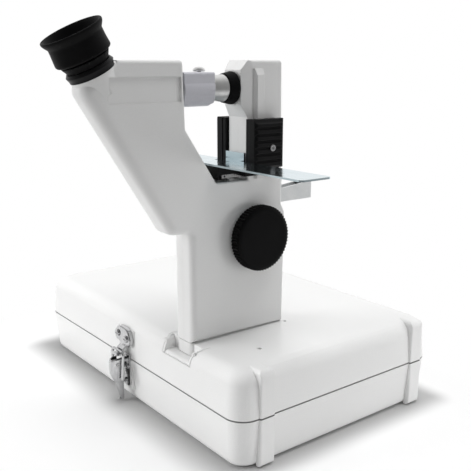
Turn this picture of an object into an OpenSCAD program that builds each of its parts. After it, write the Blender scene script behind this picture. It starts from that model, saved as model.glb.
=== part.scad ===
// Handheld lensometer standing in the dock of its carrying case.
// Millimetres, +Z up. The origin is the middle of the case's base.
// -Y is the user's side, with the eyepiece and the case latch.
// Instrument pieces are drawn about their own middle plane and moved to inst_x.

/* [Case] */
// Length of the case at its parting line
case_len = 278; // [262:1:290]
// Depth of the case at its parting line
case_dep = 184; // [180:1:190]
// Height of the closed case
case_h = 65; // [64:0.5:67]
// Height of the parting line
seam_z = 34; // [32:0.5:35]
// Corner radius of the case seen from above
case_r = 14; // [10:1:20]
// Wall thickness of both case shells
case_wall = 3; // [2.6:0.1:3.2]
// How far the case walls lean in from the parting line to the base or the top
case_draft = 2.2; // [1.6:0.1:2.6]

/* [Instrument] */
// Distance of the instrument's middle plane from the middle of the case
inst_x = 66.5; // [60:0.5:72]
// Thickness of the instrument's body
body_t = 22; // [21:0.5:24]
// Wall of the instrument's two shells
body_wall = 3; // [2.6:0.1:3]
// Height of the lens axis
axis_z = 233.6; // [233:0.2:234]
// Tilt of the eyepiece from the vertical
eye_tilt = 27.1; // [26.5:0.1:27.5]

/* [Eyepiece] */
// Outer radius of the eyecup's rim
eyecup_r = 19; // [18:0.5:20]
// Outer radius of the eyepiece barrel
barrel_r = 10; // [9.5:0.5:10]
// Outer radius of the eye lens cell
cell_r = 8.2; // [7.8:0.1:8.2]

/* [Lens holder] */
// Outer radius of the lens holder tube
presser_r = 7.5; // [7:0.1:7.5]
// Pull of the lens holder against its spring
presser_travel = 6.8; // [5:0.2:6.8]

/* [Power drive] */
// Outer diameter of the power knob
knob_d = 45.5; // [40:0.5:46]
// Number of grooves round the knob
knob_grooves = 60; // [40:2:72]
// Tooth module of the rack and pinion
tooth_module = 1; // [1:0.1:1]
// Teeth on the pinion
pinion_teeth = 12; // [12:1:12]

/* [Lens table] */
// Length of the lens table
table_len = 193; // [160:1:196]
// Thickness of the lens table sheet
table_t = 1.2; // [1:0.1:1.5]
// Height of the table's top face at rest
table_z = 186; // [185:0.5:186]
// Ribs on each grip
grip_ribs = 7; // [5:1:8]

/* [Hidden] */
$fn = 48;

// Case heights and halves
half_len = case_len / 2;
half_dep = case_dep / 2;
tray_edge_r = 6;
lid_edge_r = 11;
joint_gap = 0.3;

// Groove round the parting line, half of it in each shell
groove_h = 0.3;
groove_deep = 0.9;

// Dock for the column's foot
foot_w = 19;
foot_front = -83;
foot_back = -4;
foot_z0 = 56.3;
foot_z1 = 65.3;
dock_floor_z = 56;
mouth_x0 = 53;
mouth_x1 = 82.5;

// Spigot that seats the lens block in the head
spigot_r = 8.6;

// Plug that holds the foot in the hollow column
plug_w = 7.7;
plug_front = -77.7;
plug_back = -9.3;

// Instrument body
half_t = body_t / 2;
cavity_t = half_t - body_wall;
nose_front = -41.2;
eye_y = -155.4;
eye_z = 267.7;

// Middle of the column's light path
beam_y = -22;

// Power drive
knob_y = -30.5;
knob_z = 133;
shaft_r = 3;
pitch_r = tooth_module * pinion_teeth / 2;

// Latch pivots
latch_y = -101.5;
latch_z = 31;
bail_y = -100;
bail_z = 20.4;
bail_top_y = -98.6;
bail_top_z = 40.6;

// Vector helpers
function unit(v) = v / norm(v);

// Arc of radius r that rounds corner p between its neighbours a and b
function corner_arc(a, p, b, r, n) = r == 0 ? [p] :
  let(
    u = unit(a - p), w = unit(b - p), half = acos(u * w) / 2,
    c = p + unit(u + w) * r / sin(half),
    s = p + u * r / tan(half) - c, e = p + w * r / tan(half) - c,
    a0 = atan2(s[1], s[0]), d = atan2(e[1], e[0]) - a0,
    sweep = d > 180 ? d - 360 : d < -180 ? d + 360 : d
  )
  [for (i = [0:n]) c + r * [cos(a0 + sweep * i / n), sin(a0 + sweep * i / n)]];

// Rounded outline: each row is x, y, corner radius
function rounded(rows, n = 4) = [
  for (i = [0:len(rows) - 1])
    let(
      k = len(rows), a = rows[(i + k - 1) % k], p = rows[i], b = rows[(i + 1) % k]
    )
    each corner_arc([a[0], a[1]], [p[0], p[1]], [b[0], b[1]], p[2], n)
];

// Edge radius of each point of a rounded outline, the fourth value of its row
function edge_radii(rows, n = 4) = [
  for (p = rows) each [for (i = [0:p[2] == 0 ? 0 : n]) p[3]]
];

// Inward mitre of a closed anticlockwise outline at each point
function mitres(pts) = [
  for (i = [0:len(pts) - 1])
    let(
      k = len(pts), a = pts[(i + k - 1) % k], p = pts[i], b = pts[(i + 1) % k],
      u = unit(p - a), w = unit(b - p), m = [-u[1] - w[1], u[0] + w[0]]
    )
    m * 2 / (m * m)
];

// Outline moved inwards by d
function inset(pts, d) = let(m = mitres(pts)) [for (i = [0:len(pts) - 1]) pts[i] + m[i] * d];

// Triangles of a closed anticlockwise outline, found by cutting off its ears
function side(a, b, c) = (b[0] - a[0]) * (c[1] - a[1]) - (b[1] - a[1]) * (c[0] - a[0]);
function inside(p, a, b, c) = side(a, b, p) >= 0 && side(b, c, p) >= 0 && side(c, a, p) >= 0;
function is_ear(pts, left, i) =
  let(k = len(left), a = left[(i + k - 1) % k], b = left[i], c = left[(i + 1) % k])
  side(pts[a], pts[b], pts[c]) > 1e-9 &&
  len([for (j = left) if (j != a && j != b && j != c && inside(pts[j], pts[a], pts[b], pts[c])) j]) == 0;
function first_ear(pts, left, i = 0) =
  i >= len(left) || is_ear(pts, left, i) ? i : first_ear(pts, left, i + 1);
function ears(pts, left) =
  len(left) == 3 ? [left] :
  let(k = len(left), i = first_ear(pts, left) % k)
  concat(
    [[left[(i + k - 1) % k], left[i], left[(i + 1) % k]]],
    ears(pts, [for (j = [0:k - 1]) if (j != i) left[j]])
  );
function ear_cap(pts) = ears(pts, [for (i = [0:len(pts) - 1]) i]);

// Triangles of a convex outline of n points
function fan_cap(n) = [for (i = [1:n - 2]) [0, i, i + 1]];

// Solid through rings of equally many points, first ring to last.
// first_cap and last_cap list the triangles of the two ends.
module loft(rings, first_cap, last_cap) {
  n = len(rings[0]);
  k = len(rings);
  cap0 = is_undef(first_cap) ? fan_cap(n) : first_cap;
  cap1 = is_undef(last_cap) ? cap0 : last_cap;
  sides = [
    for (j = [0:k - 2], i = [0:n - 1])
      let(i2 = (i + 1) % n, a = j * n + i, b = j * n + i2, c = (j + 1) * n + i2, d = (j + 1) * n + i)
      each [[a, d, c], [a, c, b]]
  ];
  last = (k - 1) * n;
  ends = concat(cap0, [for (t = cap1) [last + t[2], last + t[1], last + t[0]]]);
  polyhedron(points = [for (r = rings) each r], faces = concat(sides, ends), convexity = 8);
}

// Half slab on x >= 0 from rows of y, z, corner radius, edge radius
module half_slab(rows, half) {
  pts = rounded(rows, 6);
  radii = edge_radii(rows, 6);
  m = mitres(pts);
  steps = [0:15:90];
  flat_ring = [for (p = pts) [0, p[0], p[1]]];
  rings = concat([flat_ring], [
    for (t = steps) [
      for (i = [0:len(pts) - 1])
        let(e = radii[i], q = pts[i] + m[i] * e * (1 - cos(t)))
        [half - e + e * sin(t), q[0], q[1]]
    ]
  ]);
  rim = [for (p = rings[len(rings) - 1]) [p[1], p[2]]];
  loft(rings, ear_cap(pts), ear_cap(rim));
}

// Ring of a rounded rectangle at height z
function box_ring(hx, hy, r, z, n = 9) = [
  for (c = [[1, 1, 0], [-1, 1, 90], [-1, -1, 180], [1, -1, 270]], i = [0:n])
    let(t = c[2] + 90 * i / n)
    [c[0] * (hx - r) + r * cos(t), c[1] * (hy - r) + r * sin(t), z]
];

// Ring of the case, moved in by d
function case_ring(d, z) = box_ring(half_len - d, half_dep - d, case_r - d * 0.6, z);

// Extrusions along X and Y of a drawing made in the other two axes
module along_x(x0, x1) {
  translate([x0, 0, 0]) rotate([90, 0, 90]) linear_extrude(x1 - x0) children();
}

module along_y(y0, y1) {
  translate([0, y1, 0]) rotate([90, 0, 0]) linear_extrude(y1 - y0) children();
}

module rod_x(x0, x1, y, z, r) {
  translate([x0, y, z]) rotate([0, 90, 0]) cylinder(h = x1 - x0, r = r);
}

module rod_y(y0, y1, x, z, r) {
  translate([x, y1, z]) rotate([90, 0, 0]) cylinder(h = y1 - y0, r = r);
}

module block(lo, hi) {
  translate(lo) cube(hi - lo);
}

module at_instrument() {
  translate([inst_x, 0, 0]) children();
}

// Places a drawing on the eyepiece axis, z = 0 at the rim and down the barrel below
module on_eye_axis() {
  translate([inst_x, eye_y, eye_z]) rotate([eye_tilt, 0, 0]) children();
}

// Round body turned from rows of radius and height below the rim
module turned(rows) {
  rotate_extrude($fn = 64) polygon([for (p = rows) [p[0], -p[1]]]);
}

// Case
tray_rings = concat(
  [for (t = [0:15:90]) case_ring(case_draft + tray_edge_r * (1 - sin(t)), tray_edge_r * (1 - cos(t)))],
  [case_ring(0, seam_z)]
);
tray_hollow = [
  case_ring(case_draft + case_wall + 1, case_wall),
  case_ring(case_draft + case_wall, case_wall + 3),
  case_ring(case_wall, seam_z + 1)
];
lid_start = case_h - lid_edge_r;
lid_draft = case_draft * (lid_start - seam_z) / seam_z;
lid_rings = concat(
  [case_ring(0, seam_z)],
  [for (t = [0:15:90]) case_ring(lid_draft + lid_edge_r * (1 - cos(t)), lid_start + lid_edge_r * sin(t))]
);
lid_hollow = [
  case_ring(case_wall, seam_z - 1),
  case_ring(lid_draft + case_wall, lid_start),
  case_ring(lid_draft + case_wall + 5, case_h - case_wall)
];

// Flat outline of the case wall between two insets
module seam_band(outer, inner) {
  difference() {
    seam_outline(outer);
    seam_outline(inner);
  }
}

module seam_outline(d) {
  polygon([for (p = case_ring(d, 0)) [p[0], p[1]]]);
}

// Cut that makes the groove of the parting line
module seam_groove() {
  translate([0, 0, seam_z - groove_h]) linear_extrude(2 * groove_h) seam_band(-2, groove_deep);
}

rib_w = 12;
rib_ys = [-69.8, 73];
rib_x = half_len + 1.4;

// Rib seen from above, with rounded outer edges
module rib_plan(y) {
  polygon(rounded([
    [half_len - 14, y - rib_w / 2, 0], [rib_x, y - rib_w / 2, 1.3],
    [rib_x, y + rib_w / 2, 1.3], [half_len - 14, y + rib_w / 2, 0]
  ]));
}

module case_tray() {
  color("whitesmoke")
    difference() {
      union() {
        difference() {
          loft(tray_rings);
          loft(tray_hollow);
        }
        // Lip that locates the lid
        translate([0, 0, seam_z - 3]) linear_extrude(6) seam_band(2, 3.8);
        // Upright feet on the end opposite the handle
        for (y = rib_ys) tray_rib(y);
        // Seat of the latch base
        block([-9, base_face, 10], [9, -half_dep + 6, 32.8]);
        // Bosses of the hinge leaves
        for (x = hinge_xs)
          block([x - hinge_w / 2 - 1, half_dep - 6, 19], [x + hinge_w / 2 + 1, half_dep + 0.4, 32.8]);
        // Seats of the handle brackets
        for (y = handle_ys) block([handle_face, y - 8, 13], [-half_len + 6, y + 8, 31]);
      }
      seam_groove();
      for (p = base_screws) rod_y(base_face - 1, base_face + 3, p[0], p[1], 0.95);
      for (x = hinge_xs, dx = hinge_holes) rod_y(half_dep - 3, half_dep + 1, x + dx, seam_z - 8.5, 0.95);
      for (y = handle_ys, z = bracket_holes) rod_x(handle_face - 1, handle_face + 3, y, z, 0.95);
    }
}

module tray_rib(y) {
  intersection() {
    linear_extrude(seam_z - 0.4) rib_plan(y);
    along_y(y - rib_w, y + rib_w)
      polygon(rounded([
        [half_len - 4, 3, 0], [half_len - 3, 0.6, 0], [rib_x, 0.6, 3], [rib_x, seam_z, 0], [half_len - 4, seam_z, 0]
      ]));
  }
}

module lid_rib(y) {
  top = case_h + 0.5;
  intersection() {
    translate([0, 0, seam_z + 0.4]) linear_extrude(40) rib_plan(y);
    along_y(y - rib_w, y + rib_w)
      polygon(rounded([
        [half_len - 4, seam_z, 0], [rib_x, seam_z, 0], [rib_x, top, 4.5],
        [half_len - 11.6, top, 0], [half_len - 12.6, case_h - 2, 0], [half_len - 5, lid_start, 0]
      ]));
    along_x(half_len - 15, rib_x + 1)
      polygon(rounded([
        [y - rib_w / 2, seam_z, 0], [y + rib_w / 2, seam_z, 0], [y + rib_w / 2, top, 3], [y - rib_w / 2, top, 3]
      ]));
  }
}

// Close slot round the column's foot
module dock_slot(gap) {
  translate([inst_x, 0, dock_floor_z])
    linear_extrude(20)
      foot_outline(gap);
}

// Foot outline, grown by gap
module foot_outline(gap) {
  polygon(rounded([
    [-foot_w / 2 - gap, foot_front - gap, 4], [foot_w / 2 + gap, foot_front - gap, 4],
    [foot_w / 2 + gap, foot_back + gap, 4], [-foot_w / 2 - gap, foot_back + gap, 4]
  ]));
}

module case_lid() {
  color("whitesmoke")
    difference() {
      union() {
        difference() {
          loft(lid_rings);
          loft(lid_hollow);
        }
        // Well that closes the dock from inside
        block([mouth_x0 - 4, -half_dep + 4, 46], [mouth_x1 + 4, foot_back + 6, case_h - 2]);
        block([mouth_x0 - 4, -half_dep + 2.4, 46], [mouth_x1 + 4, -half_dep + 6, 55]);
        for (y = rib_ys) lid_rib(y);
        // Seat of the latch strike
        block([-11.5, strike_back, 46], [11.5, -half_dep + 6, 56.7]);
        // Bosses of the hinge leaves
        for (x = hinge_xs)
          block([x - hinge_w / 2 - 1, half_dep - 6, 35.2], [x + hinge_w / 2 + 1, half_dep + 0.4, 49]);
      }
      for (p = strike_screws) rod_y(strike_back - 1, strike_back + 3, p[0], p[1], 1.35);
      for (x = hinge_xs, dx = hinge_holes) rod_y(half_dep - 3, half_dep + 1, x + dx, seam_z + 8.5, 0.95);
      // Rebate for the tray's lip
      translate([0, 0, seam_z - 1]) linear_extrude(4.3) seam_band(1.7, 4.1);
      seam_groove();
      // Flat seat under the latch strike
      block([-12.6, -half_dep - 1, 43.4], [12.2, strike_back, 58.6]);
      dock_slot(joint_gap);
      // Front mouth of the dock
      dock_mouth();
      liner_line();
      // Weight saving pocket under the well
      block([mouth_x0, -half_dep + 10, 40], [mouth_x1, foot_back + 2, dock_floor_z - 3]);
      // Small blind holes beside the column
      translate([108.5, -50.9, case_h - 1.8]) cylinder(h = 3, r = 1.7);
      translate([79, -2.6, case_h - 1.8]) cylinder(h = 3, r = 1.3);
    }
}

// Outline of the mouth seen from the front, grown by d
module mouth_outline(d) {
  r = 7;
  flare = [for (t = [0:15:90]) [r * (1 - cos(t)) * 0.4 + d, case_h - 0.9 - r * (1 - sin(t))]];
  polygon(concat(
    [[mouth_x0 - d, dock_floor_z - d], [mouth_x1 + d, dock_floor_z - d]],
    [for (p = flare) [mouth_x1 + p[0], p[1]]],
    [[mouth_x1 + 3 + d, case_h + 2], [mouth_x0 - 3 - d, case_h + 2]],
    [for (i = [len(flare) - 1:-1:0]) [mouth_x0 - flare[i][0], flare[i][1]]]
  ));
}

module dock_mouth() {
  lip = 3;
  face = -half_dep + lid_draft;
  along_y(-half_dep - 1, foot_front + 2) mouth_outline(0);
  // Rounded front edge of the dock's floor
  along_x(mouth_x0, mouth_x1)
    polygon(concat(
      [[face - 3, dock_floor_z + 0.1], [face - 3, dock_floor_z - lip]],
      [for (t = [0:15:90]) [face + lip * (1 - cos(t)), dock_floor_z - lip * (1 - sin(t))]],
      [[face + lip, dock_floor_z + 0.1]]
    ));
}

// Fine line round the mouth, where the dock's liner meets the lid
module liner_line() {
  deep = 0.8;
  difference() {
    along_y(-half_dep - 1, -half_dep + 16)
      difference() {
        mouth_outline(2.3);
        mouth_outline(1.8);
      }
    loft([for (r = lid_rings) [for (p = r) [p[0], p[1] * (1 - deep / half_dep), p[2] - deep]]]);
  }
}

// Hinges on the far side of the case
hinge_axis_y = half_dep + 3.2;
knuckle_r = 2.6;
hinge_xs = [-75, 75];
hinge_w = 30;
hinge_holes = [-9, 0, 9];

// One leaf with knuckles on the listed fifths of the hinge
module hinge_leaf(x, up, fifths) {
  s = up ? 1 : -1;
  difference() {
    union() {
      block(
        [x - hinge_w / 2, half_dep + 0.4, seam_z + (up ? 3 : -13)],
        [x + hinge_w / 2, half_dep + 1.6, seam_z + (up ? 13 : -3)]
      );
      for (i = fifths) {
        x0 = x - hinge_w / 2 + i * hinge_w / 5 + 0.1;
        rod_x(x0, x0 + hinge_w / 5 - 0.2, hinge_axis_y, seam_z, knuckle_r);
        block([x0, half_dep + 0.4, min(seam_z, seam_z + s * 3.2)],
              [x0 + hinge_w / 5 - 0.2, half_dep + 1.6, max(seam_z, seam_z + s * 3.2)]);
      }
    }
    rod_x(x - hinge_w / 2 - 1, x + hinge_w / 2 + 1, hinge_axis_y, seam_z, 1.25);
    for (dx = hinge_holes) rod_y(half_dep, half_dep + 3, x + dx, seam_z + s * 8.5, 1.1);
  }
}

module hinge_leaf_lower() {
  color("silver") for (x = hinge_xs) hinge_leaf(x, false, [0, 2, 4]);
}

module hinge_leaf_upper() {
  color("silver") for (x = hinge_xs) hinge_leaf(x, true, [1, 3]);
}

module hinge_pins() {
  color("silver")
    for (x = hinge_xs) rod_x(x - hinge_w / 2 - 0.4, x + hinge_w / 2 + 0.4, hinge_axis_y, seam_z, 1.2);
}

// Latch on the user's side
strike_back = -half_dep + 0.8;
strike_t = 3.4;
strike_screws = [[-6.6, 51.6], [5.4, 49.8]];
base_screws = [[-5, 28], [5, 28], [0, 15.5]];
base_face = -half_dep - 0.2;

module latch_strike() {
  leaf = rounded([
    [-10.5, 45.8, 4], [9.5, 44, 3], [11.5, 49.2, 4], [7.5, 57.6, 6], [-6, 58.2, 7], [-12, 52.2, 4]
  ]);
  color("silver")
    difference() {
      union() {
        along_y(strike_back - strike_t + 0.8, strike_back) polygon(leaf);
        along_y(strike_back - strike_t, strike_back) polygon(inset(leaf, 0.8));
        strike_hook();
      }
      for (p = strike_screws) rod_y(strike_back - 5, strike_back + 1, p[0], p[1], 1.55);
    }
}

// Tongue below the strike that curls out round the bail's top bar
module strike_hook() {
  t = 1;
  plate = strike_back - strike_t;
  back = bail_top_y + 1.5;
  low = bail_top_z - 2.2;
  lip = bail_top_y - 1.1 - 1.9;
  along_x(-4, 4)
    polygon([
      [plate + t, 50], [plate + t, 43.2], [back + t, 41.5], [back + t, low],
      [back + t - 0.8, low - 0.9], [lip - t + 0.8, low - 0.9],
      [lip - t, low], [lip - t, bail_top_z - 0.3], [lip, bail_top_z - 0.3], [lip, low + 0.1],
      [back, low + 0.1], [back, 41.9], [plate, 43.8], [plate, 50]
    ]);
}

ear_x = 2;

module latch_base() {
  color("silver")
    difference() {
      union() {
        along_y(base_face - 1, base_face)
          polygon(rounded([[-7.4, 12, 3], [7.4, 12, 3], [7.4, 37.4, 2], [-7.4, 37.4, 2]]));
        for (s = [-1, 1])
          translate([s * ear_x - 0.4, 0, 0]) {
            along_x(0, 0.8)
              polygon([
                [base_face - 0.6, latch_z - 5], [base_face - 0.6, latch_z + 1.9],
                [latch_y, latch_z + 1.9], [latch_y, latch_z - 1.9]
              ]);
            rod_x(0, 0.8, latch_y, latch_z, 1.9);
          }
      }
      rod_x(-6, 6, latch_y, latch_z, 1.3);
      for (p = base_screws) rod_y(base_face - 5, base_face + 1, p[0], p[1], 1.3);
    }
}

// Pan head screw along Y, its head's underside at y
module pan_screw_y(x, y, z, r, shaft = 3.6) {
  difference() {
    union() {
      rod_y(y - 0.7, y, x, z, r);
      rod_y(y - 1.3, y - 0.7, x, z, r * 0.82);
      rod_y(y, y + shaft, x, z, r * 0.48);
    }
    for (a = [0, 90])
      translate([x, y - 1.3, z]) rotate([0, a, 0]) cube([r * 1.2, 0.9, 0.5], center = true);
  }
}

module latch_screws() {
  color("gainsboro") {
    for (p = strike_screws) pan_screw_y(p[0], strike_back - strike_t, p[1], 2.7, 5.8);
    for (p = base_screws) pan_screw_y(p[0], base_face - 1, p[1], 1.9);
  }
}

// Small screws of the hinges and the handle brackets
module case_screws() {
  color("gainsboro") {
    for (x = hinge_xs, dx = hinge_holes, s = [-1, 1])
      translate([x + dx, half_dep + 1.6, seam_z + s * 8.5]) rotate([0, 0, 180]) pan_screw_y(0, 0, 0, 1.9);
    for (y = handle_ys, z = bracket_holes)
      translate([handle_face - 1.2, y, z]) rotate([0, 0, -90]) pan_screw_y(0, 0, 0, 1.9);
  }
}

module latch_pin() {
  color("silver") rod_x(-5.3, 5.3, latch_y, latch_z, 1.2);
}

// Cross-section of the lever: a round-backed channel open towards the case
function channel(w, d, t, y, z, n = 8) = concat(
  [for (i = [0:n]) let(a = 180 * i / n) [-w * cos(a), y - d * sin(a), z]],
  [for (i = [n:-1:0]) let(a = 180 * i / n) [-(w - t) * cos(a), y - (d - t) * sin(a), z]]
);

// Triangles of a channel's end, between its outer and inner arcs
function channel_cap(n) = [
  for (i = [0:n - 1])
    let(a = i, b = i + 1, c = 2 * n + 1 - b, d = 2 * n + 1 - a)
    each [[a, b, c], [a, c, d]]
];

module latch_lever() {
  front = -97.6;
  color("silver")
    difference() {
      union() {
        loft([
          channel(2.2, 2.2, 0.8, front + 1.6, 1.8),
          channel(3.0, 3.2, 0.8, front + 1.2, 7.5),
          channel(4.2, 5.2, 0.8, front + 0.4, 16),
          channel(5.2, 7.6, 0.8, front - 0.2, 23),
          channel(5.4, 8.4, 0.8, front - 0.2, 29),
          channel(5.2, 7.9, 0.8, front - 0.2, 33.6)
        ], channel_cap(8));
        // Cheeks that carry the pivots
        for (s = [-1, 1])
          translate([s * 4.75 - 0.45, 0, 0])
            along_x(0, 0.9)
              polygon(rounded([
                [-96.6, 18, 0], [-96, 22, 1], [-98.2, 34.4, 1.5], [-104, 34.4, 1.5], [-103.4, 17.4, 1]
              ]));
        // Curled tip
        rod_x(-2.2, 2.2, front + 0.6, 2, 1.1);
      }
      rod_x(-8, 8, latch_y, latch_z, 1.27);
      rod_x(-8, 8, bail_y, bail_z, 0.85);
    }
}

// Bent wire loop: two legs and a top bar
module latch_bail() {
  wire = 1.05;
  half_w = 8;
  bend = 2.4;
  lean = atan2(bail_top_y - bail_y, bail_top_z - bail_z);
  reach = norm([bail_top_y - bail_y, bail_top_z - bail_z]);
  color("silver")
    translate([0, bail_y, bail_z])
      rotate([-lean, 0, 0]) {
        for (s = [-1, 1]) {
          translate([s * half_w, 0, -0.8]) cylinder(h = reach - bend + 0.8, r = wire);
          translate([s * (half_w - bend), 0, reach - bend])
            rotate([90, s > 0 ? 0 : -90, 0])
              rotate_extrude(angle = 90) translate([bend, 0]) circle(r = wire);
          rod_x(min(s * 3.9, s * half_w), max(s * 3.9, s * half_w), 0, 0, 0.8);
        }
        rod_x(-half_w + bend, half_w - bend, 0, reach, wire);
      }
}

// Carrying handle on the end opposite the upright feet
handle_ys = [-48, 48];
handle_x = -half_len - 6.6;
handle_face = -half_len - 0.2;
bracket_holes = [16.5, 27.5];
handle_z = 22;

module handle_brackets() {
  plate_x = handle_face;
  color("silver")
    for (y = handle_ys)
      difference() {
        union() {
          block([plate_x - 1.2, y - 7, 14], [plate_x, y + 7, 30]);
          for (s = [-1, 1])
            along_y(y + s * 5.5 - 0.6, y + s * 5.5 + 0.6)
              polygon(rounded([
                [plate_x - 1, handle_z - 4.2, 0], [plate_x - 1, handle_z + 4.2, 0],
                [handle_x - 3, handle_z + 2.6, 2], [handle_x - 3, handle_z - 2.6, 2]
              ]));
        }
        rod_y(y - 8, y + 8, handle_x, handle_z, 1.75);
        for (z = bracket_holes) rod_x(plate_x - 3, plate_x + 1, y, z, 1.1);
      }
}

// Bail shaped handle, at rest hanging down along the tray
module carry_handle() {
  r = 3;
  bend = 8;
  drop = 13;
  y1 = handle_ys[1] - 1.6;
  color("dimgray") {
    for (s = [-1, 1]) {
      rod_y(s * handle_ys[1] - 7.4, s * handle_ys[1] + 7.4, handle_x, handle_z, 1.7);
      rod_y(s * handle_ys[1] - 4.7, s * handle_ys[1] + 4.7, handle_x, handle_z, 3.4);
      translate([handle_x, s * y1, handle_z - drop + bend]) cylinder(h = drop - bend, r = r);
      translate([handle_x, s * (y1 - bend), handle_z - drop + bend])
        rotate([0, 90, 0])
          rotate([0, 0, s > 0 ? 0 : -90])
            rotate_extrude(angle = 90) translate([bend, 0]) circle(r = r);
    }
    rod_y(-y1 + bend, y1 - bend, handle_x, handle_z - drop, r);
    rod_y(-26, 26, handle_x, handle_z - drop, 4.2);
  }
}

// Outline of the instrument's body: y, z, corner radius, edge radius
body_rows = [
  [-83, 65.6, 0, 5], [-3.8, 65.6, 0, 2], [-2.6, 147, 3, 2], [-5.8, 153, 3, 2], [-7, 251.5, 2.4, 2],
  [-36.2, 251.5, 0, 1.5], [nose_front, 245.2, 0, 1.5], [nose_front, 222.8, 0, 1.5], [-36.5, 214.5, 0, 1.5],
  [-36.5, 172.8, 0, 1.5], [-62.7, 173.2, 2, 1.5], [-86, 209, 3, 2], [-87.2, 251.2, 2.4, 2],
  [-131, 251.2, 2.4, 2], [-157.8, 237.1, 8.4, 8], [-97.4, 141.5, 8, 6.4], [-83, 141.5, 3, 5]
];
cavity_rows = [
  [-83, 65.6], [-3.8, 65.6], [-2.6, 147], [-5.8, 153], [-7, 251.5],
  [-36.2, 251.5], [nose_front, 245.2], [nose_front, 222.8], [-36.5, 214.5],
  [-36.5, 172.8], [-62.7, 173.2], [-86, 209], [-87.2, 251.2],
  [-131, 251.2], [-153.9, 238.3], [-97.4, 141.5], [-83, 141.5]
];
cavity_outline = inset(cavity_rows, body_wall);
rail_y0 = -31.4;
rail_y1 = -24.1;
rail_out = 2;
nose_bevel = 2.3;
boss_rows = [[-76, 137], [-12, 146], [-92, 200], [-114, 244.6], [-9.8, 90]];
boss_r = 3.4;

module body_half() {
  difference() {
    union() {
      difference() {
        union() {
          half_slab(body_rows, half_t);
          fairing();
          guide_rail();
        }
        along_x(-1, cavity_t) polygon(cavity_outline);
      }
      for (p = boss_rows) rod_x(0, cavity_t + 0.5, p[0], p[1], boss_r);
    }
    nose_side();
    // Eyepiece bore
    translate([0, eye_y, eye_z]) rotate([eye_tilt, 0, 0]) translate([0, 0, -40]) cylinder(h = 30, r = barrel_r + 0.05);
    translate([0, eye_y, eye_z]) rotate([eye_tilt, 0, 0]) translate([0, 0, -27]) cylinder(h = 20, r = 16);
    // Seat of the lens block's spigot
    rod_y(-109, -84, 0, axis_z, spigot_r + 0.05);
    // Light opening of the nose
    rod_y(-46, -36, 0, axis_z, 5.05);
    // Opening in the notch for the carriage
    block([-1, -61, 168], [9.5, -40, 176]);
    along_x(-1, 9.5) polygon([[-62, 169], [-50, 169], [-62, 188], [-76, 188]]);
    // Open end of the column, closed by the foot
    block([-1, plug_front - joint_gap, 60], [plug_w + joint_gap, plug_back + joint_gap, 70]);
    // Threads of the shell screws
    for (p = boss_rows) rod_x(-1, cavity_t - 1, p[0], p[1], 1.5);
  }
}

// Round swelling of the head below the eyepiece
module fairing() {
  intersection() {
    translate([0, eye_y, eye_z]) rotate([eye_tilt, 0, 0]) translate([0, 0, -47]) cylinder(h = 20.4, r1 = 10.6, r2 = 14.1);
    block([0, -190, 200], [20, -100, 260]);
  }
}

// Bevel on the side of the nose, and the groove between it and the guide rail
module nose_side() {
  groove = rail_y0 - 2;
  lean = nose_bevel / (groove - nose_front);
  front = nose_front - 4;
  translate([0, 0, 205])
    linear_extrude(50)
      polygon([
        [half_t - lean * (groove - front), front], [half_t + 3, front], [half_t + 3, groove], [half_t, groove]
      ]);
  block([half_t - 1.2, groove, 205], [half_t + 3, rail_y0, 246]);
}

// Upright rail that guides the lens table's carriage
module guide_rail() {
  top = 246.4;
  intersection() {
    translate([0, 0, 173])
      linear_extrude(top - 173)
        polygon([
          [half_t - 1.5, rail_y0], [half_t, rail_y0], [half_t + rail_out, rail_y0 + 1.2],
          [half_t + rail_out - 0.3, rail_y1], [half_t - 1.5, rail_y1]
        ]);
    // The top end slopes down and out
    along_y(rail_y0 - 1, rail_y1 + 1)
      polygon([
        [half_t - 2, 172], [half_t + rail_out + 1, 172], [half_t + rail_out + 1, top - 7.2],
        [half_t, top], [half_t - 2, top]
      ]);
  }
}

module body_shell_right() {
  color("white")
    at_instrument()
      difference() {
        body_half();
        // Bare recess on the side of the head
        head_recess();
        // Passage of the power shaft
        rod_x(-1, half_t + 2, knob_y, knob_z, 5.05);
      }
}

module head_recess() {
  // Rows of depth and how far the edge stands out, for its small bevel
  for (d = [[0.9, 0], [0.4, 0.5]])
    along_x(half_t - d[0], half_t + 4)
      polygon(rounded([
        [-139 - d[1], 226.5 - d[1], 1], [-89, 226.5 - d[1], 0], [-89, 241 + d[1], 0], [-139 - d[1], 241 + d[1], 1]
      ]));
  block([half_t - 1.6, -92.5, 226.5], [half_t + 1, -89, 241]);
}

module body_shell_left() {
  color("white")
    at_instrument()
      difference() {
        mirror([1, 0, 0]) body_half();
        for (p = boss_rows) {
          rod_x(-half_t - 1, -half_t + 2.4, p[0], p[1], 3.1);
          rod_x(-half_t - 1, 1, p[0], p[1], 1.7);
        }
        rod_x(-half_t - 2, 1, switch_y, switch_z, 4.8);
        // Far bearing of the power shaft
        rod_x(-9.2, 0, knob_y, knob_z, shaft_r + 0.04);
      }
}

module shell_screws() {
  color("silver")
    at_instrument()
      for (p = boss_rows)
        difference() {
          union() {
            rod_x(-half_t + 0.3, -half_t + 2.35, p[0], p[1], 2.8);
            rod_x(-half_t + 2.3, 5, p[0], p[1], 1.45);
          }
          for (a = [0, 90])
            translate([-half_t + 0.4, p[0], p[1]]) rotate([a, 0, 0]) cube([1.6, 3.4, 0.7], center = true);
        }
}

// Foot that stands in the case's dock
module column_foot() {
  color("white")
    at_instrument()
      difference() {
        union() {
          translate([0, 0, foot_z0]) linear_extrude(foot_z1 - foot_z0) foot_outline(0);
          // Plug that holds the foot in the column
          block([-plug_w, plug_front, foot_z1 - 1], [plug_w, plug_back, 68.4]);
        }
        translate([0, 0, foot_z0 - 1]) linear_extrude(5) polygon([[-6, -70], [6, -70], [6, -17], [-6, -17]]);
      }
}

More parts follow.
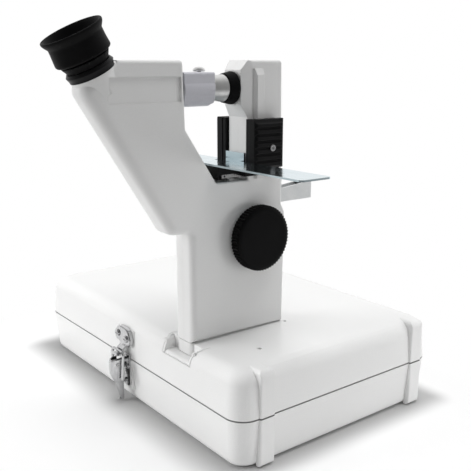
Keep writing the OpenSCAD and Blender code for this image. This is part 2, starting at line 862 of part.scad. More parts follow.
// Eyepiece
module eyepiece_mount() {
  color("dimgray")
    on_eye_axis()
      turned([
        [barrel_r + 0.05, 21.9], [13.8, 21.9], [14.95, 23.6], [14.1, 26], [14.1, 27], [barrel_r + 0.05, 27]
      ]);
}

module eyepiece_barrel() {
  color("black")
    on_eye_axis()
      turned([
        [cell_r + 0.05, 10], [barrel_r, 10], [barrel_r, 28.6], [9, 29.4], [8.2, 29.4], [8.2, 27.6],
        [7.2, 27.6], [7.2, 26.4], [cell_r + 0.05, 26.4]
      ]);
}

module dioptre_ring() {
  color("black")
    on_eye_axis()
      difference() {
        turned([
          [barrel_r + 0.1, 9.5], [12, 9.5], [12, 16.2], [14.2, 16.9], [15, 17.8], [13.2, 21.2],
          [13.2, 21.6], [barrel_r + 0.1, 21.6]
        ]);
        for (i = [0:15])
          rotate([0, 0, i * 22.5]) translate([15.4, 0, -19]) cylinder(h = 4, r = 0.9, center = true, $fn = 16);
      }
}

module eyecup() {
  r = eyecup_r;
  color("black")
    on_eye_axis()
      turned([
        [r - 1.6, 0.3], [r - 1, 0], [r - 0.3, 0.2], [r, 0.9], [r - 0.5, 2.4], [r - 1.5, 4.2], [r - 2.25, 5.2],
        [r - 2.2, 9], [r - 1.9, 14], [r - 1.7, 15.5], [r - 2.3, 16.4], [12.05, 16.1], [12.05, 9.2],
        [10.4, 9.2], [10.4, 8.2], [13.5, 7.2], [15, 5], [r - 2.6, 2]
      ]);
}

module eye_lens_cell() {
  color("black")
    on_eye_axis()
      turned([
        [5.5, 13.6], [cell_r, 13.6], [cell_r, 22.6], [6.4, 22.6], [6.4, 17.5], [5.5, 17.5]
      ]);
}

module eye_lens() {
  color("lightblue")
    on_eye_axis()
      turned([
        [0, 17], [2, 17.05], [4, 17.25], [5.45, 17.55], [6.35, 17.6], [6.35, 19.8], [4, 20.15], [2, 20.35], [0, 20.4]
      ]);
}

module graticule() {
  color("lightblue") on_eye_axis() turned([[0, 27.65], [8.15, 27.65], [8.15, 29], [0, 29]]);
}

// Light path of the head
mirror_tilt = (90 - eye_tilt) / 2;
mirror_y = -138;

module head_mirror() {
  color("lightsteelblue")
    at_instrument()
      translate([0, mirror_y, axis_z])
        rotate([-mirror_tilt, 0, 0])
          translate([0, 0, -1]) cube([15, 19, 2], center = true);
}

module head_mirror_seat() {
  color("black")
    at_instrument()
      intersection() {
        along_x(-cavity_t, cavity_t) polygon(cavity_outline);
        translate([0, mirror_y, axis_z])
          rotate([-mirror_tilt, 0, 0])
            translate([-cavity_t, -9, -7]) cube([2 * cavity_t, 18, 5]);
      }
}

// Grey block in front of the head that holds the sprung lens holder
block_y0 = -86.3;
block_y1 = -63.2;
slot_w = 1.6;

module lens_block() {
  color("lightslategray")
    at_instrument()
      difference() {
        union() {
          intersection() {
            along_y(block_y0, block_y1)
              polygon(rounded([
                [-10.5, 223, 6], [10.5, 223, 6], [10.5, 244, 1.5], [-10.5, 244, 1.5]
              ]));
            along_x(-12, 12)
              polygon(rounded([
                [block_y0, 220, 0], [block_y1, 224.5, 1], [block_y1, 245, 1], [block_y0, 245, 0]
              ]));
          }
          intersection() {
            rod_y(block_y0 + 0.2, block_y1, 0, axis_z, 11.2);
            block([-12, -95, 220], [12, -55, 239]);
          }
          rod_y(-108.5, block_y0 + 1, 0, axis_z, spigot_r);
        }
        rod_y(-101, block_y1 + 1, 0, axis_z, presser_r + 0.05);
        rod_y(-104, -100, 0, axis_z, 5.5);
        rod_y(-109, -104, 0, axis_z, 6.55);
        rod_y(block_y1 - 5.4, block_y1 + 1, 0, axis_z, 8.6);
        // Slot of the pull knob
        block([-slot_w, pull_y - presser_travel - 2, axis_z], [slot_w, pull_y + 2, 246]);
      }
}

module objective_lens() {
  color("lightblue")
    at_instrument()
      translate([0, -104, axis_z])
        rotate([90, 0, 0])
          rotate_extrude()
            polygon([[0, 0.9], [5.4, 0.1], [6.5, 0.1], [6.5, 3], [4, 3.6], [2, 3.9], [0, 4]]);
}

presser_back = -83;
pull_y = -68.2;
pull_r = 1.3;
spring_end = -100.9;
ring_bore = 6.8;
spring_coils = 7;
spring_wire = 0.45;
spring_r = 6.6;
coil_steps = 8;

// Tube swept along a coil, as one skin
module coil(length, turns, r, wire, n = 6) {
  k = turns * coil_steps;
  rings = [
    for (i = [0:k])
      let(a = 360 * i / coil_steps, z = wire + (length - 2 * wire) * i / k)
      [for (j = [0:n - 1]) let(b = 360 * j / n, q = r + wire * cos(b)) [q * cos(a), q * sin(a), z + wire * sin(b)]]
  ];
  loft(rings);
}

module presser_spring() {
  color("silver")
    at_instrument()
      translate([0, spring_end, axis_z])
        rotate([-90, 0, 0])
          coil(presser_back - spring_end - 0.1, spring_coils, spring_r, spring_wire);
}
spring_pitch = (presser_back - spring_end) / spring_coils;
echo(spring_gap = spring_pitch - 2 * spring_wire);

module presser_tube() {
  color("silver")
    at_instrument()
      difference() {
        translate([0, 0, axis_z])
          rotate([-90, 0, 0])
            rotate_extrude()
              polygon([
                [5.5, presser_back], [presser_r, presser_back], [presser_r, -61.2], [8.1, -57.6], [8.9, -50.6],
                [8.8, -50], [ring_bore - 0.02, -50], [ring_bore - 0.02, -44.6], [5.5, -44.6]
              ]);
        translate([0, pull_y, axis_z + 4]) cylinder(h = 6, r = pull_r);
      }
}

module presser_ring() {
  color("black")
    at_instrument()
      translate([0, 0, axis_z])
        rotate([-90, 0, 0])
          rotate_extrude()
            polygon([
              [ring_bore, -49.9], [9.2, -49.9], [9.6, -49.4], [10, -47], [10.7, -44.2], [10.9, -43],
              [10.5, -42.3], [9.8, -42], [7.6, -42], [ring_bore, -43]
            ]);
}

module presser_knob() {
  color("silver")
    at_instrument()
      translate([0, pull_y, 0]) {
        translate([0, 0, axis_z + presser_r - 0.9]) cylinder(h = 4.4, r = pull_r);
        translate([0, 0, 244.4])
          rotate_extrude()
            polygon([[0, 0], [3.6, 0], [4, 0.4], [4, 1], [3.4, 1.9], [2.2, 2.6], [0, 2.9]]);
      }
}

// Ring on the nose that the lens rests against
module lens_stop() {
  color("black")
    at_instrument()
      translate([0, 0, axis_z])
        rotate([-90, 0, 0])
          rotate_extrude()
            polygon([
              [4, nose_front - 0.7], [6, nose_front - 0.7], [6, nose_front - 0.02], [5, nose_front - 0.02],
              [5, nose_front + 2.9], [4, nose_front + 2.9]
            ]);
}

// Light path of the column
module column_mirror() {
  color("lightsteelblue")
    at_instrument()
      translate([0, beam_y, axis_z])
        rotate([45, 0, 0])
          translate([0, 0, 1]) cube([14, 18, 2], center = true);
}

module column_mirror_seat() {
  color("black")
    at_instrument()
      intersection() {
        along_x(-cavity_t, cavity_t) polygon(cavity_outline);
        translate([0, beam_y, axis_z])
          rotate([45, 0, 0])
            translate([-cavity_t, -8, 2]) cube([2 * cavity_t, 16, 5]);
      }
}

module beam_tube() {
  color("dimgray")
    at_instrument()
      difference() {
        union() {
          translate([0, beam_y, 165]) cylinder(h = 50, r = 7.4);
          for (z = [166, 209]) block([-7.8, -33.2, z], [7.8, -10.4, z + 2]);
        }
        translate([0, beam_y, 160]) cylinder(h = 60, r = 5.4);
        translate([0, beam_y, 206]) cylinder(h = 20, r = 6.05);
      }
}

module collimator_lens() {
  color("lightblue")
    at_instrument()
      translate([0, beam_y, 206])
        rotate_extrude()
          polygon([[0, 0.9], [5.3, 0.05], [6, 0.05], [6, 2.6], [4, 3.4], [2, 3.8], [0, 3.9]]);
}

// Power drive: knob, shaft with pinion, rack on the target carrier
rack_y = knob_y - pitch_r;
carrier_z = knob_z - 30;
rod_rows = [[-4.5, -45.5], [4.5, -45.5]];
rod_r = 1.5;

// Involute point of base radius b at roll angle t
function involute(b, t) = b * [cos(t) + t * PI / 180 * sin(t), sin(t) - t * PI / 180 * cos(t)];
function turn2(p, a) = [p[0] * cos(a) - p[1] * sin(a), p[0] * sin(a) + p[1] * cos(a)];

// Outline of the pinion, thinned for backlash
module pinion_outline() {
  m = tooth_module;
  base_r = pitch_r * cos(20);
  tip_r = pitch_r + 0.75 * m;
  root_r = pitch_r - 1.1 * m;
  tip_t = sqrt(tip_r * tip_r / (base_r * base_r) - 1) * 180 / PI;
  pitch_t = sqrt(pitch_r * pitch_r / (base_r * base_r) - 1) * 180 / PI;
  at_pitch = involute(base_r, pitch_t);
  half_tooth = 90 / pinion_teeth - 1.6 + atan2(at_pitch[1], at_pitch[0]);
  polygon([
    for (i = [0:pinion_teeth - 1])
      let(c = 360 * i / pinion_teeth)
      each concat(
        [turn2([root_r, 0], c - half_tooth)],
        [for (k = [0:4]) turn2(involute(base_r, tip_t * k / 4), c - half_tooth)],
        [for (k = [4:-1:0]) let(p = involute(base_r, tip_t * k / 4)) turn2([p[0], -p[1]], c + half_tooth)],
        [turn2([root_r, 0], c + half_tooth)]
      )
  ]);
}

module power_shaft() {
  color("silver")
    at_instrument() {
      rod_x(-8.8, 19.5, knob_y, knob_z, shaft_r);
      translate([-7.6, knob_y, knob_z]) rotate([90, 0, 90]) linear_extrude(4) pinion_outline();
    }
}

module shaft_bush() {
  color("goldenrod")
    at_instrument()
      difference() {
        union() {
          rod_x(7.6, 12.6, knob_y, knob_z, 5);
          rod_x(half_t, 12.6, knob_y, knob_z, 7);
          rod_x(7, cavity_t, knob_y, knob_z, 6.4);
        }
        rod_x(6, 14, knob_y, knob_z, shaft_r + 0.04);
      }
}

module knob_outline(r, depth) {
  n = knob_grooves * 4;
  polygon([for (i = [0:n - 1]) let(a = 360 * i / n) (r - depth * (1 - abs(cos(a * knob_grooves / 2)))) * [cos(a), sin(a)]]);
}

module power_knob() {
  r = knob_d / 2;
  color("black")
    at_instrument()
      translate([13, knob_y, knob_z])
        rotate([90, 0, 90])
          difference() {
            union() {
              cylinder(h = 1.2, r = r - 1.2);
              translate([0, 0, 1]) linear_extrude(6.4) knob_outline(r, 0.9);
              translate([0, 0, 7.4])
                rotate_extrude($fn = 72)
                  polygon([[0, 0], [r - 0.95, 0], [r - 1.2, 0.5], [r - 2.4, 1.1], [r - 4.4, 1.2], [0, 1.2]]);
            }
            translate([0, 0, -1]) cylinder(h = 7.6, r = shaft_r + 0.02);
          }
}

module target_carrier() {
  m = tooth_module;
  pitch = PI * m;
  rack_n = 12;
  rack_z0 = knob_z - (rack_n / 2) * pitch;
  half_tooth = pitch / 4 - 0.16;
  color("dimgray")
    at_instrument()
      difference() {
        union() {
          block([-7.4, -48.6, carrier_z], [7.4, -14, carrier_z + 4]);
          block([-7.8, rack_y - 1.2 * m - 5, carrier_z], [-3.4, rack_y - 1.2 * m, rack_z0 + rack_n * pitch]);
          translate([-7.8, 0, 0])
            along_x(0, 4.4)
              for (i = [0:rack_n - 1]) {
                // A tooth space of the pinion faces the shaft's axis height
                z = rack_z0 + (i + 0.5) * pitch;
                polygon([
                  [rack_y - 1.3 * m, z - half_tooth - 1.3 * m * tan(20)],
                  [rack_y + 0.75 * m, z - half_tooth + 0.75 * m * tan(20)],
                  [rack_y + 0.75 * m, z + half_tooth - 0.75 * m * tan(20)],
                  [rack_y - 1.3 * m, z + half_tooth + 1.3 * m * tan(20)]
                ]);
              }
        }
        for (p = rod_rows) translate([p[0], p[1], carrier_z - 1]) cylinder(h = 80, r = rod_r + 0.06);
        translate([0, beam_y, carrier_z - 1]) cylinder(h = 6, r = 4);
        translate([0, beam_y, carrier_z + 2.4]) cylinder(h = 6, r = 6.05);
      }
}

module target_plate() {
  color("lightblue")
    at_instrument()
      translate([0, beam_y, carrier_z + 2.4]) cylinder(h = 1.4, r = 6);
}

module guide_rods() {
  color("silver")
    at_instrument()
      for (p = rod_rows) translate([p[0], p[1], 80]) cylinder(h = 88, r = rod_r);
}

module rod_plate() {
  color("dimgray")
    at_instrument()
      difference() {
        block([-7.8, -79.8, 166.2], [7.8, -33.4, 168.6]);
        for (p = rod_rows) translate([p[0], p[1], 160]) cylinder(h = 20, r = rod_r + 0.02);
        block([-8, -90, 160], [8, -60, 180]);
      }
}

module lamp_board() {
  color("darkgreen")
    at_instrument()
      difference() {
        block([-7.8, -48.8, 78.2], [7.8, -7.2, 79.8]);
        translate([0, beam_y, 70]) cylinder(h = 20, r = 1.6);
      }
}

module led_lamp() {
  color("white")
    at_instrument()
      translate([0, beam_y, 79.8])
        rotate_extrude()
          polygon([[0, 0], [2.9, 0], [2.9, 1], [2.5, 1], [2.5, 6.2], [2, 7.6], [1, 8.4], [0, 8.6]]);
}

// Two cells side by side in the front of the column
cell_d = 14.4;
cell_ys = [-71.9, -57.2];

module battery_holder() {
  color("black")
    at_instrument()
      difference() {
        block([-7.9, -79.8, 69], [7.9, -49.3, 124]);
        for (y = cell_ys) {
          translate([0, y, 71]) cylinder(h = 51, r = cell_d / 2 + 0.1);
          block([0, y - 6.4, 71], [9, y + 6.4, 122]);
        }
      }
}

module battery_cells() {
  color("steelblue")
    at_instrument()
      for (y = cell_ys) {
        translate([0, y, 71.3]) cylinder(h = 48.7, r = cell_d / 2);
        translate([0, y, 120]) cylinder(h = 1.4, r = 2.7);
      }
}

switch_y = -62;
switch_z = 137;

module switch_body() {
  color("black")
    at_instrument()
      difference() {
        block([-7.9, -69, 130], [4, -55, 144]);
        rod_x(-9, -4.6, switch_y, switch_z, 3.8);
      }
}

module switch_button() {
  color("red")
    at_instrument() {
      rod_x(-half_t - 1.6, -9.3, switch_y, switch_z, 4.5);
      rod_x(-9.4, -6.2, switch_y, switch_z, 3.4);
    }
}

// Lens table with its carriage and grips
module lens_table() {
  h = table_len / 2;
  color("lightcyan")
    at_instrument() {
      difference() {
        translate([0, 0, table_z - table_t])
          linear_extrude(table_t)
            polygon(rounded([
              [-h, -67, 2.5], [h, -67, 2.5], [h, -43, 2.5], [10, -43, 0], [10, -38.2, 0], [-10, -38.2, 0],
              [-10, -43, 0], [-h, -43, 2.5]
            ]));
        for (s = [-1, 1]) translate([s * 6, -50, table_z - 3]) cylinder(h = 5, r = 1.4);
      }
      block([-10, -38.2 - table_t, table_z - 0.2], [10, -38.2, table_z + 5]);
    }
}

cheek_in = half_t + 0.35;
cheek_out = 14.8;
grip_y0 = -39;
grip_y1 = -11.9;
grip_screw = [-23.9, 194.5];

module table_carriage() {
  color("black")
    at_instrument()
      difference() {
        union() {
          block([-10.5, -61, 178], [10.5, -41, table_z - table_t - 0.02]);
          block([-7, -59, 174.5], [7, -41, 178.2]);
          block([-cheek_out, -42, 176], [cheek_out, -37.2, 184.6]);
          for (s = [-1, 1])
            mirror([s < 0 ? 1 : 0, 0, 0])
              along_x(cheek_in, cheek_out)
                polygon([
                  [-38.6, 176], [grip_y1 - 0.5, 176], [grip_y1 - 0.5, 210.5], [grip_y1 - 3, 213.5], [-38.6, 213.5]
                ]);
        }
        for (s = [-1, 1])
          mirror([s < 0 ? 1 : 0, 0, 0])
            block([half_t, rail_y0 - 0.35, 170], [half_t + rail_out + 0.35, rail_y1 + 0.35, 220]);
        for (s = [-1, 1]) translate([s * 6, -50, 170]) cylinder(h = 20, r = 1.25);
        // Pocket of the friction strip
        block([-half_t - 1.1, -24, 178], [-half_t + 1, -17, 212]);
        for (s = [0, 1]) mirror([s, 0, 0]) rod_x(13, 15, grip_screw[0], grip_screw[1], 1.3);
        // Seat of the strap's end
        block([6.9, -42.4, 174], [8.4, -39.5, 177.9]);
      }
}

// Profile of a grip across its ribs, in x and z
module grip_profile() {
  z0 = 181;
  z1 = 213.6;
  pitch = (z1 - z0 - 2) / grip_ribs;
  polygon(concat(
    [[cheek_out, z0], [20, z0]],
    [
      for (i = [0:grip_ribs - 1])
        let(z = z0 + 1 + i * pitch)
        each [[21.2, z], [22, z + pitch * 0.15], [22, z + pitch * 0.55], [21.2, z + pitch * 0.7], [20.8, z + pitch * 0.85]]
    ],
    [[20, z1], [cheek_out, z1]]
  ));
}

module grip() {
  difference() {
    intersection() {
      along_y(grip_y0, grip_y1) grip_profile();
      // Bevelled upright edges
      translate([0, 0, 180])
        linear_extrude(34)
          polygon([
            [cheek_out, grip_y0], [20.5, grip_y0], [22, grip_y0 + 2], [22, grip_y1 - 3.9], [18, grip_y1],
            [cheek_out, grip_y1]
          ]);
    }
    rod_x(19.6, 24, grip_screw[0], grip_screw[1], 2.35);
    rod_x(13, 20, grip_screw[0], grip_screw[1], 1.3);
  }
}

module grip_right() {
  color("black") at_instrument() grip();
}

module grip_left() {
  color("black") at_instrument() mirror([1, 0, 0]) grip();
}

module grip_screws() {
  color("silver")
    at_instrument()
      for (s = [0, 1])
        mirror([s, 0, 0])
          difference() {
            union() {
              rod_x(19.6, 22, grip_screw[0], grip_screw[1], 2.15);
              rod_x(13.6, 19.7, grip_screw[0], grip_screw[1], 1.2);
            }
            rod_x(20.6, 23, grip_screw[0], grip_screw[1], 1.05);
          }
}

module friction_strip() {
  color("silver")
    at_instrument()
      along_x(-half_t - 1.05, -half_t - 0.35)
        polygon([[-23.8, 178.2], [-17.2, 178.2], [-17.2, 211.8], [-23.8, 211.8]]);
}

module carriage_strap() {
  color("silver")
    at_instrument() {
      difference() {
        block([7.05, -56.4, 175.2], [8.1, -39.8, 177.6]);
        rod_x(6, 9, -54.2, 176.4, 0.7);
      }
    }
}

// Sheet metal bracket behind the column
module rear_bracket() {
  x0 = -1;
  x1 = 8.6;
  y1 = 24.4;
  t = 1.2;
  color("lightgray")
    at_instrument()
      difference() {
        union() {
          block([x0, -5.6, 153.8], [x1, y1, 155]);
          for (x = [x0, x1 - t])
            along_x(x, x + t) polygon([[-5.6, 153.8], [y1, 153.8], [y1, 166.4], [-2, 163.6], [-5.6, 163.6]]);
          block([x0, y1 - t, 153.8], [x1, y1, 166.4]);
          block([x0 - 5, -5.6, 154.4], [x1 + 0.001, -4.4, 170]);
        }
        rod_y(-9, 0, 3.8, 160, 1.6);
        translate([3.8, 15.4, 150]) cylinder(h = 8, r = 1.7);
      }
}

// Adjusting screw that stands on the bracket's floor
module bracket_screw() {
  color("black")
    at_instrument()
      translate([3.8, 15.4, 0])
        difference() {
          union() {
            translate([0, 0, 155.02]) cylinder(h = 1.2, r = 2.9);
            translate([0, 0, 153.9]) cylinder(h = 12, r = 1.6);
            translate([0, 0, 164.8]) cylinder(h = 2.4, r = 2.6);
          }
          translate([0, 0, 166]) cylinder(h = 2, r = 1.3, $fn = 6);
        }
}

case_tray();
case_lid();
hinge_leaf_lower();
hinge_leaf_upper();
hinge_pins();
latch_strike();
latch_base();
latch_screws();
case_screws();
latch_pin();
latch_lever();
latch_bail();
handle_brackets();
carry_handle();
body_shell_right();
body_shell_left();
column_foot();
shell_screws();
eyepiece_mount();
eyepiece_barrel();
dioptre_ring();
eyecup();
eye_lens_cell();
eye_lens();
graticule();
head_mirror();
head_mirror_seat();
lens_block();
objective_lens();
presser_spring();
presser_tube();
presser_ring();
presser_knob();
lens_stop();
column_mirror();
column_mirror_seat();
beam_tube();
collimator_lens();
guide_rods();
rod_plate();
target_carrier();
target_plate();
power_knob();
power_shaft();
shaft_bush();
led_lamp();
lamp_board();
battery_holder();
battery_cells();
switch_button();
switch_body();
lens_table();
table_carriage();
grip_right();
grip_left();
grip_screws();
friction_strip();
carriage_strap();
rear_bracket();
bracket_screw();
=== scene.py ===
import math

import bmesh
import bpy
from mathutils import Matrix, Vector


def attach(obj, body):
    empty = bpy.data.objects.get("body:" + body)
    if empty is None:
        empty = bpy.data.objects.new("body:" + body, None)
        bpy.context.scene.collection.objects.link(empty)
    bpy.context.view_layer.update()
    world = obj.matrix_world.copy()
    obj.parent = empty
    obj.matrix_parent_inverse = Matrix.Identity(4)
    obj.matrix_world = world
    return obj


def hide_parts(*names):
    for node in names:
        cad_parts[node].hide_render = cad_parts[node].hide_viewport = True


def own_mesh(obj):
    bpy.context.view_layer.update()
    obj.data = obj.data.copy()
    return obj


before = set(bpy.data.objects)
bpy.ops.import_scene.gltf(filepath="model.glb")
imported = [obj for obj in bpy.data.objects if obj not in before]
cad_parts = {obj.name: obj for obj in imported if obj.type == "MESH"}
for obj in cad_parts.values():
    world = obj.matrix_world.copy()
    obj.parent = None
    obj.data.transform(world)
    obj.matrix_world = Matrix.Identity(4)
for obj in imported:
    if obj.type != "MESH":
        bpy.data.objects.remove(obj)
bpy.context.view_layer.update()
mm = 0.001
print("frame loaded:", len(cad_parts), "solids")

# camera at the photograph's angle
viewSet = {
    "place": (0.45514, -0.33828, 0.2490),
    "forward": (-0.7706, 0.5940, -0.2310),
    "lensMm": 55.23,
    "sensorMm": 36.0,
    "nearest": 0.01, "farthest": 20.0,    # metres that the camera sees
}


def makeCamera(viewSet):
    data = bpy.data.cameras.new("photoCamera")
    data.lens = viewSet["lensMm"]
    data.sensor_width = viewSet["sensorMm"]
    data.clip_start, data.clip_end = viewSet["nearest"], viewSet["farthest"]
    camera = bpy.data.objects.new("photoCamera", data)
    camera.location = viewSet["place"]
    camera.rotation_mode = "QUATERNION"
    camera.rotation_quaternion = Vector(viewSet["forward"]).to_track_quat("-Z", "Y")
    bpy.context.scene.collection.objects.link(camera)
    bpy.context.scene.camera = camera


makeCamera(viewSet)
print("camera placed")


# one smooth skin for every solid: curves are shaded round, real corners stay sharp
smoothing = {
    "weld": 0.00002,         # metres
    "cornerDegrees": 31.0,   # a sharper edge than this stays a corner
    "crisp": {"body_shell_right": 19.0, "body_shell_left": 19.0},   # keeps flats and bevels apart
    "flatWeight": 100,       # large faces lead the shading
}


def buildSmoother(smoothing):
    group = bpy.data.node_groups.new("smoothSkin", "GeometryNodeTree")
    group.interface.new_socket("Geometry", in_out="INPUT", socket_type="NodeSocketGeometry")
    group.interface.new_socket("Corner Angle", in_out="INPUT", socket_type="NodeSocketFloat")
    group.interface.new_socket("Geometry", in_out="OUTPUT", socket_type="NodeSocketGeometry")
    source = group.nodes.new("NodeGroupInput")
    sink = group.nodes.new("NodeGroupOutput")
    weld = group.nodes.new("GeometryNodeMergeByDistance")
    weld.inputs["Distance"].default_value = smoothing["weld"]
    strip = group.nodes.new("GeometryNodeRemoveAttribute")
    strip.inputs["Name"].default_value = "custom_normal"
    angle = group.nodes.new("GeometryNodeInputMeshEdgeAngle")
    soft = group.nodes.new("FunctionNodeCompare")
    soft.data_type, soft.operation = "FLOAT", "LESS_THAN"
    edges = group.nodes.new("GeometryNodeSetShadeSmooth")
    edges.domain = "EDGE"
    faces = group.nodes.new("GeometryNodeSetShadeSmooth")
    faces.domain = "FACE"
    faces.inputs["Shade Smooth"].default_value = True
    join = group.links.new
    join(source.outputs[0], weld.inputs["Geometry"])
    join(weld.outputs[0], strip.inputs["Geometry"])
    join(strip.outputs[0], edges.inputs["Geometry"])
    join(angle.outputs["Unsigned Angle"], soft.inputs["A"])
    join(source.outputs["Corner Angle"], soft.inputs["B"])
    join(soft.outputs[0], edges.inputs["Shade Smooth"])
    join(edges.outputs[0], faces.inputs["Geometry"])
    join(faces.outputs[0], sink.inputs[0])
    return group


smoother = buildSmoother(smoothing)


def smoothSolid(solid):
    skin = solid.modifiers.new("smoothSkin", "NODES")
    skin.node_group = smoother
    corner = smoother.interface.items_tree["Corner Angle"].identifier
    skin[corner] = math.radians(smoothing["crisp"].get(solid.name, smoothing["cornerDegrees"]))
    flats = solid.modifiers.new("flatFaces", "WEIGHTED_NORMAL")
    flats.mode = "FACE_AREA"
    flats.weight = smoothing["flatWeight"]
    flats.keep_sharp = True


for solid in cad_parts.values():
    smoothSolid(solid)
print("solids smoothed")


# shader building helpers
def addNode(tree, kind, values=None, **settings):
    node = tree.nodes.new(kind)
    for key, value in settings.items():
        setattr(node, key, value)
    for key, value in (values or {}).items():
        if isinstance(value, bpy.types.NodeSocket):
            tree.links.new(value, node.inputs[key])
        else:
            node.inputs[key].default_value = value
    return node


def mixColour(tree, share, first, second, blend="MIX"):
    node = addNode(tree, "ShaderNodeMix", data_type="RGBA", blend_type=blend)
    for key, value in ((0, share), (6, first), (7, second)):    # a colour mix's own sockets
        if isinstance(value, bpy.types.NodeSocket):
            tree.links.new(value, node.inputs[key])
        elif key == 0:
            node.inputs[key].default_value = value
        else:
            node.inputs[key].default_value = (*value[:3], 1)
    return node.outputs[2]


def mathNode(tree, operation, first, second=0.0, clamp=False):
    return addNode(
        tree, "ShaderNodeMath", {0: first, 1: second}, operation=operation, use_clamp=clamp
    ).outputs[0]


def mapRange(tree, value, fromLow, fromHigh, toLow, toHigh):
    return addNode(
        tree,
        "ShaderNodeMapRange",
        {
            "Value": value,
            "From Min": fromLow,
            "From Max": fromHigh,
            "To Min": toLow,
            "To Max": toHigh,
        },
    ).outputs["Result"]


def noiseNode(tree, place, scale, detail, **more):
    values = {"Vector": place, "Scale": scale, "Detail": detail, **more}
    return addNode(tree, "ShaderNodeTexNoise", values).outputs["Fac"]


def newGroup(name, inputs, outputs):
    group = bpy.data.node_groups.new(name, "ShaderNodeTree")
    for label, kind, default in inputs:
        socket = group.interface.new_socket(label, in_out="INPUT", socket_type=kind)
        socket.default_value = default
    for label, kind in outputs:
        group.interface.new_socket(label, in_out="OUTPUT", socket_type=kind)
    source = group.nodes.new("NodeGroupInput")
    sink = group.nodes.new("NodeGroupOutput")
    return group, source.outputs, sink.inputs


floatKind, colourKind = "NodeSocketFloat", "NodeSocketColor"


# roughness that goes up and down with a noise, round its given value
def spreadRoughness(group, noise, given):
    aside = mathNode(group, "SUBTRACT", noise, 0.5)
    spread = mathNode(group, "MULTIPLY", aside, given["Roughness Spread"])
    return mathNode(group, "ADD", given["Roughness"], spread)


noiseLow, noiseHigh = 0.3, 0.7    # most of a noise texture's values lie between these

# soft cloudy tone, fine moulding grain and rare hairline scratches of a painted or moulded skin
skinLook = {
    "cloudDetail": 5.0, "cloudRoughness": 0.55, "cloudFrom": 0.35, "cloudTo": 0.75,
    "grainDetail": 3.0, "grainRoughness": 0.6, "grainDark": 0.965, "grainLight": 1.02,
    "scratchTurn": (0.5, 0.8, 0.3), "scratchStretch": (18.0, 260.0, 260.0), "scratchScale": 2.0,
    "scratchDetail": 2.0, "scratchFrom": 0.70, "scratchTo": 0.74, "scratchRoughness": 0.25,
}


def buildSkinGroup(look):
    group, given, result = newGroup(
        "mouldedSkin",
        [
            ("Colour", colourKind, (0.8, 0.8, 0.8, 1)),
            ("Worn Colour", colourKind, (0.7, 0.7, 0.7, 1)),
            ("Cloud Size", floatKind, 9.0),
            ("Grain Size", floatKind, 900.0),
            ("Roughness", floatKind, 0.4),
            ("Roughness Spread", floatKind, 0.1),
            ("Grain Height", floatKind, 0.5),
            ("Scratches", floatKind, 0.3),
        ],
        [("Colour", colourKind), ("Roughness", floatKind), ("Height", floatKind)],
    )
    place = addNode(group, "ShaderNodeTexCoord").outputs["Object"]
    cloud = noiseNode(
        group, place, given["Cloud Size"], look["cloudDetail"], Roughness=look["cloudRoughness"]
    )
    grain = noiseNode(
        group, place, given["Grain Size"], look["grainDetail"], Roughness=look["grainRoughness"]
    )
    turned = addNode(
        group,
        "ShaderNodeMapping",
        {"Vector": place, "Rotation": look["scratchTurn"], "Scale": look["scratchStretch"]},
    ).outputs["Vector"]
    lines = noiseNode(group, turned, look["scratchScale"], look["scratchDetail"])
    thin = mapRange(group, lines, look["scratchFrom"], look["scratchTo"], 0.0, 1.0)
    scratch = mathNode(group, "MULTIPLY", thin, given["Scratches"])
    share = mapRange(group, cloud, look["cloudFrom"], look["cloudTo"], 0.0, 1.0)
    tone = mixColour(group, share, given["Colour"], given["Worn Colour"])
    speck = mapRange(group, grain, noiseLow, noiseHigh, look["grainDark"], look["grainLight"])
    shade = addNode(group, "ShaderNodeCombineColor", {0: speck, 1: speck, 2: speck}).outputs[0]
    group.links.new(mixColour(group, 1.0, tone, shade, "MULTIPLY"), result["Colour"])
    rough = spreadRoughness(group, cloud, given)
    rougher = mathNode(group, "MULTIPLY", scratch, look["scratchRoughness"])
    rough = mathNode(group, "ADD", rough, rougher, clamp=True)
    group.links.new(rough, result["Roughness"])
    height = mathNode(group, "MULTIPLY", grain, given["Grain Height"])
    height = mathNode(group, "SUBTRACT", height, scratch)
    group.links.new(height, result["Height"])
    return group


# drawn lines of rolled or brushed metal, along the axis with the smallest stretch, and dull stains
brushLook = {
    "lineScale": 3.0, "lineDetail": 4.0, "lineFrom": 0.35, "lineTo": 0.65, "lineShare": 0.35,
    "stainScale": 45.0, "stainDetail": 6.0, "stainRoughness": 0.65,
    "spotFrom": 0.55, "spotTo": 0.75, "spotRoughness": 0.35,
}


